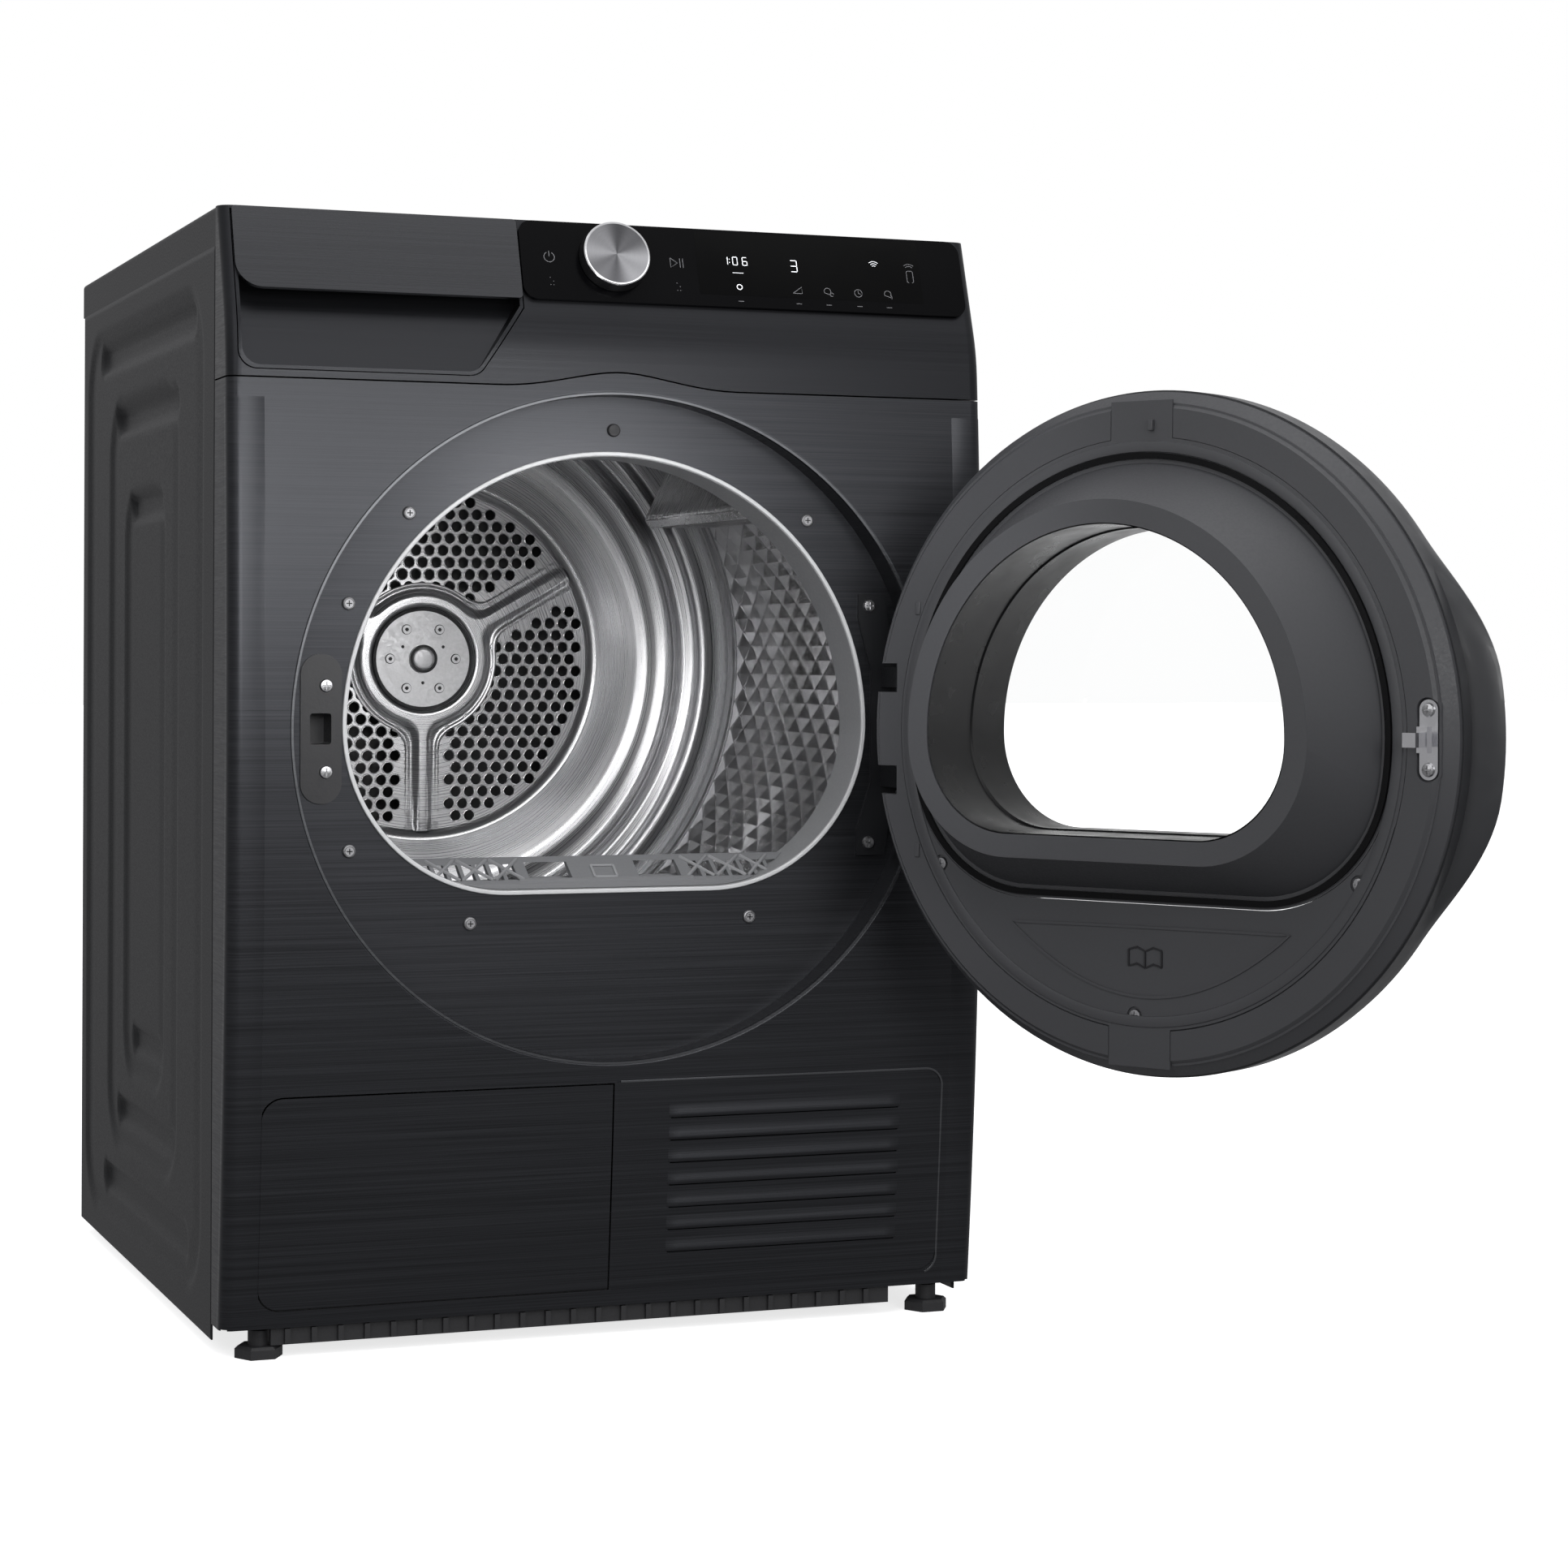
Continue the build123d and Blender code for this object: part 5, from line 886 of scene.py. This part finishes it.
piece("filter_crossed_ribs", points, faces, light_grey, "filter", bevel=0.4 * mm, sharp=30)

# ---------------------------------------------------------------------------
# The door: dark grey moulded frame and bulge, a glossy black window tunnel,
# clear window, a chrome latch and a gloss outer shell with its finger grip.
# All of it is made closed and swung open about the hinge line.
# ---------------------------------------------------------------------------
door_z, plane_y, hinge_x, hinge_y = 463.0, -301.0, 232.3, -342.0
opened = math.radians(120.5)


def swing(points):
    """Turns closed-door points in metres to where the open door stands."""
    points = np.asarray(points, float).reshape(-1, 3).copy()
    x, y = points[:, 0] - hinge_x * mm, points[:, 1] - hinge_y * mm
    points[:, 0] = hinge_x * mm + x * math.cos(opened) - y * math.sin(opened)
    points[:, 1] = hinge_y * mm + x * math.sin(opened) + y * math.cos(opened)
    return points


paint(dark_plastic, "door_frame", "door_bowl", "door_cover")
outer_gloss = moulded("outer_gloss_shell", (0.034, 0.035, 0.038), 0.34, grain=60.0, depth=0.00001, coat=0.15)
chrome = Finish("latch_chrome", (0.80, 0.80, 0.82), 0.12, 1.0)
chrome.feed("Roughness", chrome.span(chrome.noise((120, 120, 120)), 0.3, 0.7, 0.08, 0.18))
paint(chrome, "latch")
screw_steel = steel("screw_steel", (0.42, 0.42, 0.43), 0.32, (600.0, 600.0, 600.0))
paint(screw_steel, "front_screws", "door_screws", "hinge_pins")

# ---------------------------------------------------------------------------
# The door's outer ring: a gloss moulded shell, swollen opposite the hinge
# into a finger grip and cut away where the hinge comes through.
# ---------------------------------------------------------------------------
count = 200
grip_out, grip_flat, grip_end = 20.0, 9, 35
notch_x, notch_half, notch_y = 206, 51, -349.5
angle = np.linspace(0, 2 * math.pi, count, endpoint=False)
bump = grip_out * (1 - step(np.abs(np.degrees(angle) - 180.0), grip_flat, grip_end))
shell = np.array([(174.5, -353.0), (227.5, -355.0), (237, -354.0), (243.5, -350.5), (248, -345), (249.5, -339),
                  (249.5, -332), (249.5, -329), (249.5, -318), (247.1, -318), (247.1, -338), (240, -348.6),
                  (227.5, -352.4), (177, -350.4), (177, -346), (174.5, -346)])
# How much of the grip's swelling each point of the profile takes.
share = np.array([0, 0, 0.25, 0.7, 0.95, 1.0, 0.6, 0, 0, 0, 0, 0.3, 0, 0, 0, 0])
radius = shell[:, 0][:, None] + share[:, None] * bump
depth = np.broadcast_to(shell[:, 1][:, None], radius.shape)
grid = np.stack([radius * np.cos(angle), depth, door_z + radius * np.sin(angle)], -1)
faces = quads(len(shell), count, close_rows=True, close_columns=True, flip=True)
middle = grid.reshape(-1, 3)[faces].mean(1)
notch = (middle[:, 0] > notch_x) & (np.abs(middle[:, 2] - door_z) < notch_half) & (middle[:, 1] > notch_y)
piece("outer_shell_with_grip", swing(grid * mm), faces[~notch], outer_gloss, "door", "door_outer", sharp=35)

# ---------------------------------------------------------------------------
# The door's inner face: a moulded rim step, the outline of the manual's pocket
# in the crescent, its open-book sign and small moulded marks.
# ---------------------------------------------------------------------------
def on_door(a, b, height):
    """Points of the closed door's inner plane: a across, b up from its middle, height off it."""
    return np.stack(np.broadcast_arrays(a, plane_y + height, door_z + b), -1)


def door_lines(name, strokes, width, finish, thick=0.5, closed=()):
    """Raised strokes moulded on the door's inner face."""
    parts = [ribbon(line[::-1], width, on_door, closed=i in closed, thick=thick) for i, line in enumerate(strokes)]
    points, faces = gather(*parts)
    piece(name, swing(points), faces, finish, "door", smooth=False)


rim_profile = [(203.6, plane_y - 0.3), (204.2, plane_y + 0.9), (205.6, plane_y + 1.2), (210.2, plane_y + 1.2),
               (211.6, plane_y + 0.9), (212.2, plane_y - 0.3)]
points, faces = lathe(rim_profile, 0, door_z, 160)
piece("door_rim_step", swing(points), faces[:, ::-1], dark_plastic, "door", sharp=50)


def bow(start, pull, end, count=30):
    """Flat curve from start to end, drawn towards a pull point: a quadratic in t."""
    t = np.linspace(0, 1, count)[:, None]
    start, pull, end = (np.array([point]) for point in (start, pull, end))
    return (1 - t) ** 2 * start + 2 * t * (1 - t) * pull + t ** 2 * end


pocket_right, pocket_left = (112, -141), (-124, -139)
under = bow(pocket_right, (-5.0, -240.0), pocket_left)
over = bow(pocket_left, (-5.0, -139.0), pocket_right)
pocket = np.concatenate([under, over[1:-1]])
book = [np.array([(-19, -156), (-12, -154), (-5, -157), (2, -154), (9, -156)]),
        np.array([(-19, -156), (-19, -168)]), np.array([(9, -156), (9, -168)]),
        np.array([(-19, -168), (-12, -166), (-5, -169), (2, -166), (9, -168)]), np.array([(-5, -157), (-5, -169)])]
door_lines("manual_pocket_outline", [pocket], 2.0, dark_plastic, thick=1.1, closed=(0,))
door_lines("open_book_icon", book, 1.3, black_plastic, thick=0.9)


def box_between(low, high):
    """Closed box between two corners in mm: the points and faces."""
    (x0, y0, z0), (x1, y1, z1) = low, high
    points = np.array([(x, y, z) for x in (x0, x1) for y in (y0, y1) for z in (z0, z1)], float) * mm
    faces = [(0, 1, 3, 2), (4, 6, 7, 5), (0, 4, 5, 1), (2, 3, 7, 6), (0, 2, 6, 4), (1, 5, 7, 3)]
    return points, faces


hook = [box_between((-11, plane_y, door_z + 219), (-7, plane_y + 3.5, door_z + 227))]
for a, b in ((199, 92), (199, -92)):
    hook.append(box_between((a - 2, plane_y, door_z + b - 5), (a + 2, plane_y + 1.4, door_z + b + 5)))
points, faces = gather(*hook)
piece("door_small_marks", swing(points), faces, dark_plastic, "door", bevel=0.5 * mm, sharp=30)

# ---------------------------------------------------------------------------
# The window tunnel's lining: a gloss black sleeve of the D-shaped window, with
# one groove round it where the bulge and the ring meet.
# ---------------------------------------------------------------------------
def d_line(radius, corner, drop, top=120, turn_points=20, low=24):
    """Closed (x, z) line in mm: a round top, two corner arcs and a flat foot, about its middle."""
    radius, corner, drop = float(radius), float(corner), float(drop)
    side = math.sqrt((radius - corner) ** 2 - (drop - corner) ** 2)
    turn = math.atan2(corner - drop, side)
    right = np.linspace(-math.pi / 2, turn, turn_points, endpoint=False)
    over = np.linspace(turn, math.pi - turn, top, endpoint=False)
    left = np.linspace(math.pi - turn, 1.5 * math.pi, turn_points, endpoint=False)
    foot = np.linspace(-side, side, low, endpoint=False)
    x = np.concatenate([side + corner * np.cos(right), radius * np.cos(over),
                        -side + corner * np.cos(left), foot])
    z = np.concatenate([corner - drop + corner * np.sin(right), radius * np.sin(over),
                        corner - drop + corner * np.sin(left), np.full(low, -drop)])
    return np.stack([x, z], -1)


def loft(lines, depths, z):
    """Closed (x, z) lines in mm about a height, each at its own depth y, joined in order."""
    grid = np.stack([np.stack([line[:, 0], np.full(len(line), float(depth)), line[:, 1] + z], -1)
                     for line, depth in zip(lines, depths)])
    return grid * mm, quads(len(lines), grid.shape[1], close_columns=True, flip=True)


window_radius, window_corner, window_drop = 151, 70, 73
window_black = moulded("gloss_black_tunnel", (0.005, 0.005, 0.0055), 0.3, grain=40.0, depth=0.00001)
window_black.shader.inputs["Specular IOR Level"].default_value = 0.12
paint(window_black, "door_seal")
lining = ((0.9, -246.6), (0.9, -300.0), (2.1, -301.5), (2.1, -307.0), (0.9, -308.5), (0.9, -345.0))
lines = [d_line(window_radius - inset, window_corner, window_drop - inset) for inset, depth in lining]
points, faces = loft(lines, [depth for inset, depth in lining], door_z)
piece("window_tunnel_lining", swing(points), faces, window_black, "door", sharp=25)

# ---------------------------------------------------------------------------
# The window: one clear glass, domed outwards, bonded into the outer ring.
# Thin as it is, it bends the view behind it very little.
# ---------------------------------------------------------------------------
clear = Finish("clear_window", (0.98, 0.985, 0.985), 0.02, 0.0, Transmission_Weight=1.0, IOR=1.12)
clear.feed("Roughness", clear.span(clear.noise((8, 8, 8)), 0.3, 0.7, 0.0, 0.02))
paint(clear, "door_glass")

# ---------------------------------------------------------------------------
# What stands behind the panels: heat pump, motor, fan, rollers, ducts and
# pump, each in the finish of what it is made of; also the feet and the plug.
# ---------------------------------------------------------------------------
rubber = moulded("black_rubber", (0.016, 0.016, 0.016), 0.75, grain=300.0, depth=0.0002)
felt = moulded("grey_felt", (0.16, 0.155, 0.15), 0.95, grain=1500.0, depth=0.0006, spread=0.3)
tank = moulded("natural_tank_plastic", (0.66, 0.67, 0.66), 0.4)
base_black = moulded("base_plastic", (0.022, 0.022, 0.024), 0.55)
board = moulded("circuit_board", (0.015, 0.09, 0.03), 0.4, grain=900.0, spread=0.4)
alloy = steel("alloy_fins", (0.70, 0.71, 0.72), 0.35, (900.0, 60.0, 60.0))
copper = steel("copper_pipe", (0.72, 0.34, 0.20), 0.3, (90.0, 90.0, 90.0))
bronze = steel("sintered_bronze", (0.46, 0.29, 0.13), 0.42, (900.0, 900.0, 900.0))
cast = moulded("black_cast_housing", (0.012, 0.012, 0.013), 0.5, grain=250.0, depth=0.0003)
motor_steel = steel("motor_steel", (0.36, 0.36, 0.37), 0.4, (60.0, 900.0, 60.0))
by_slot = {"side_paint": side_paint, "knob_metal": knob_finish, "black_plastic": black_plastic,
           "grey_plastic": mid_grey, "tank_plastic": tank, "base_plastic": base_black, "rubber": rubber,
           "felt": felt, "alloy_fins": alloy, "copper": copper, "bronze": bronze, "board": board,
           "cast": cast, "motor_steel": motor_steel, "zinc": zinc_sheet}
paint(cast, "rear_duct")
for part in frame["record"]["subparts"]:
    if part["node"] not in painted:
        paint(by_slot[part["material_slot"]], part["node"])
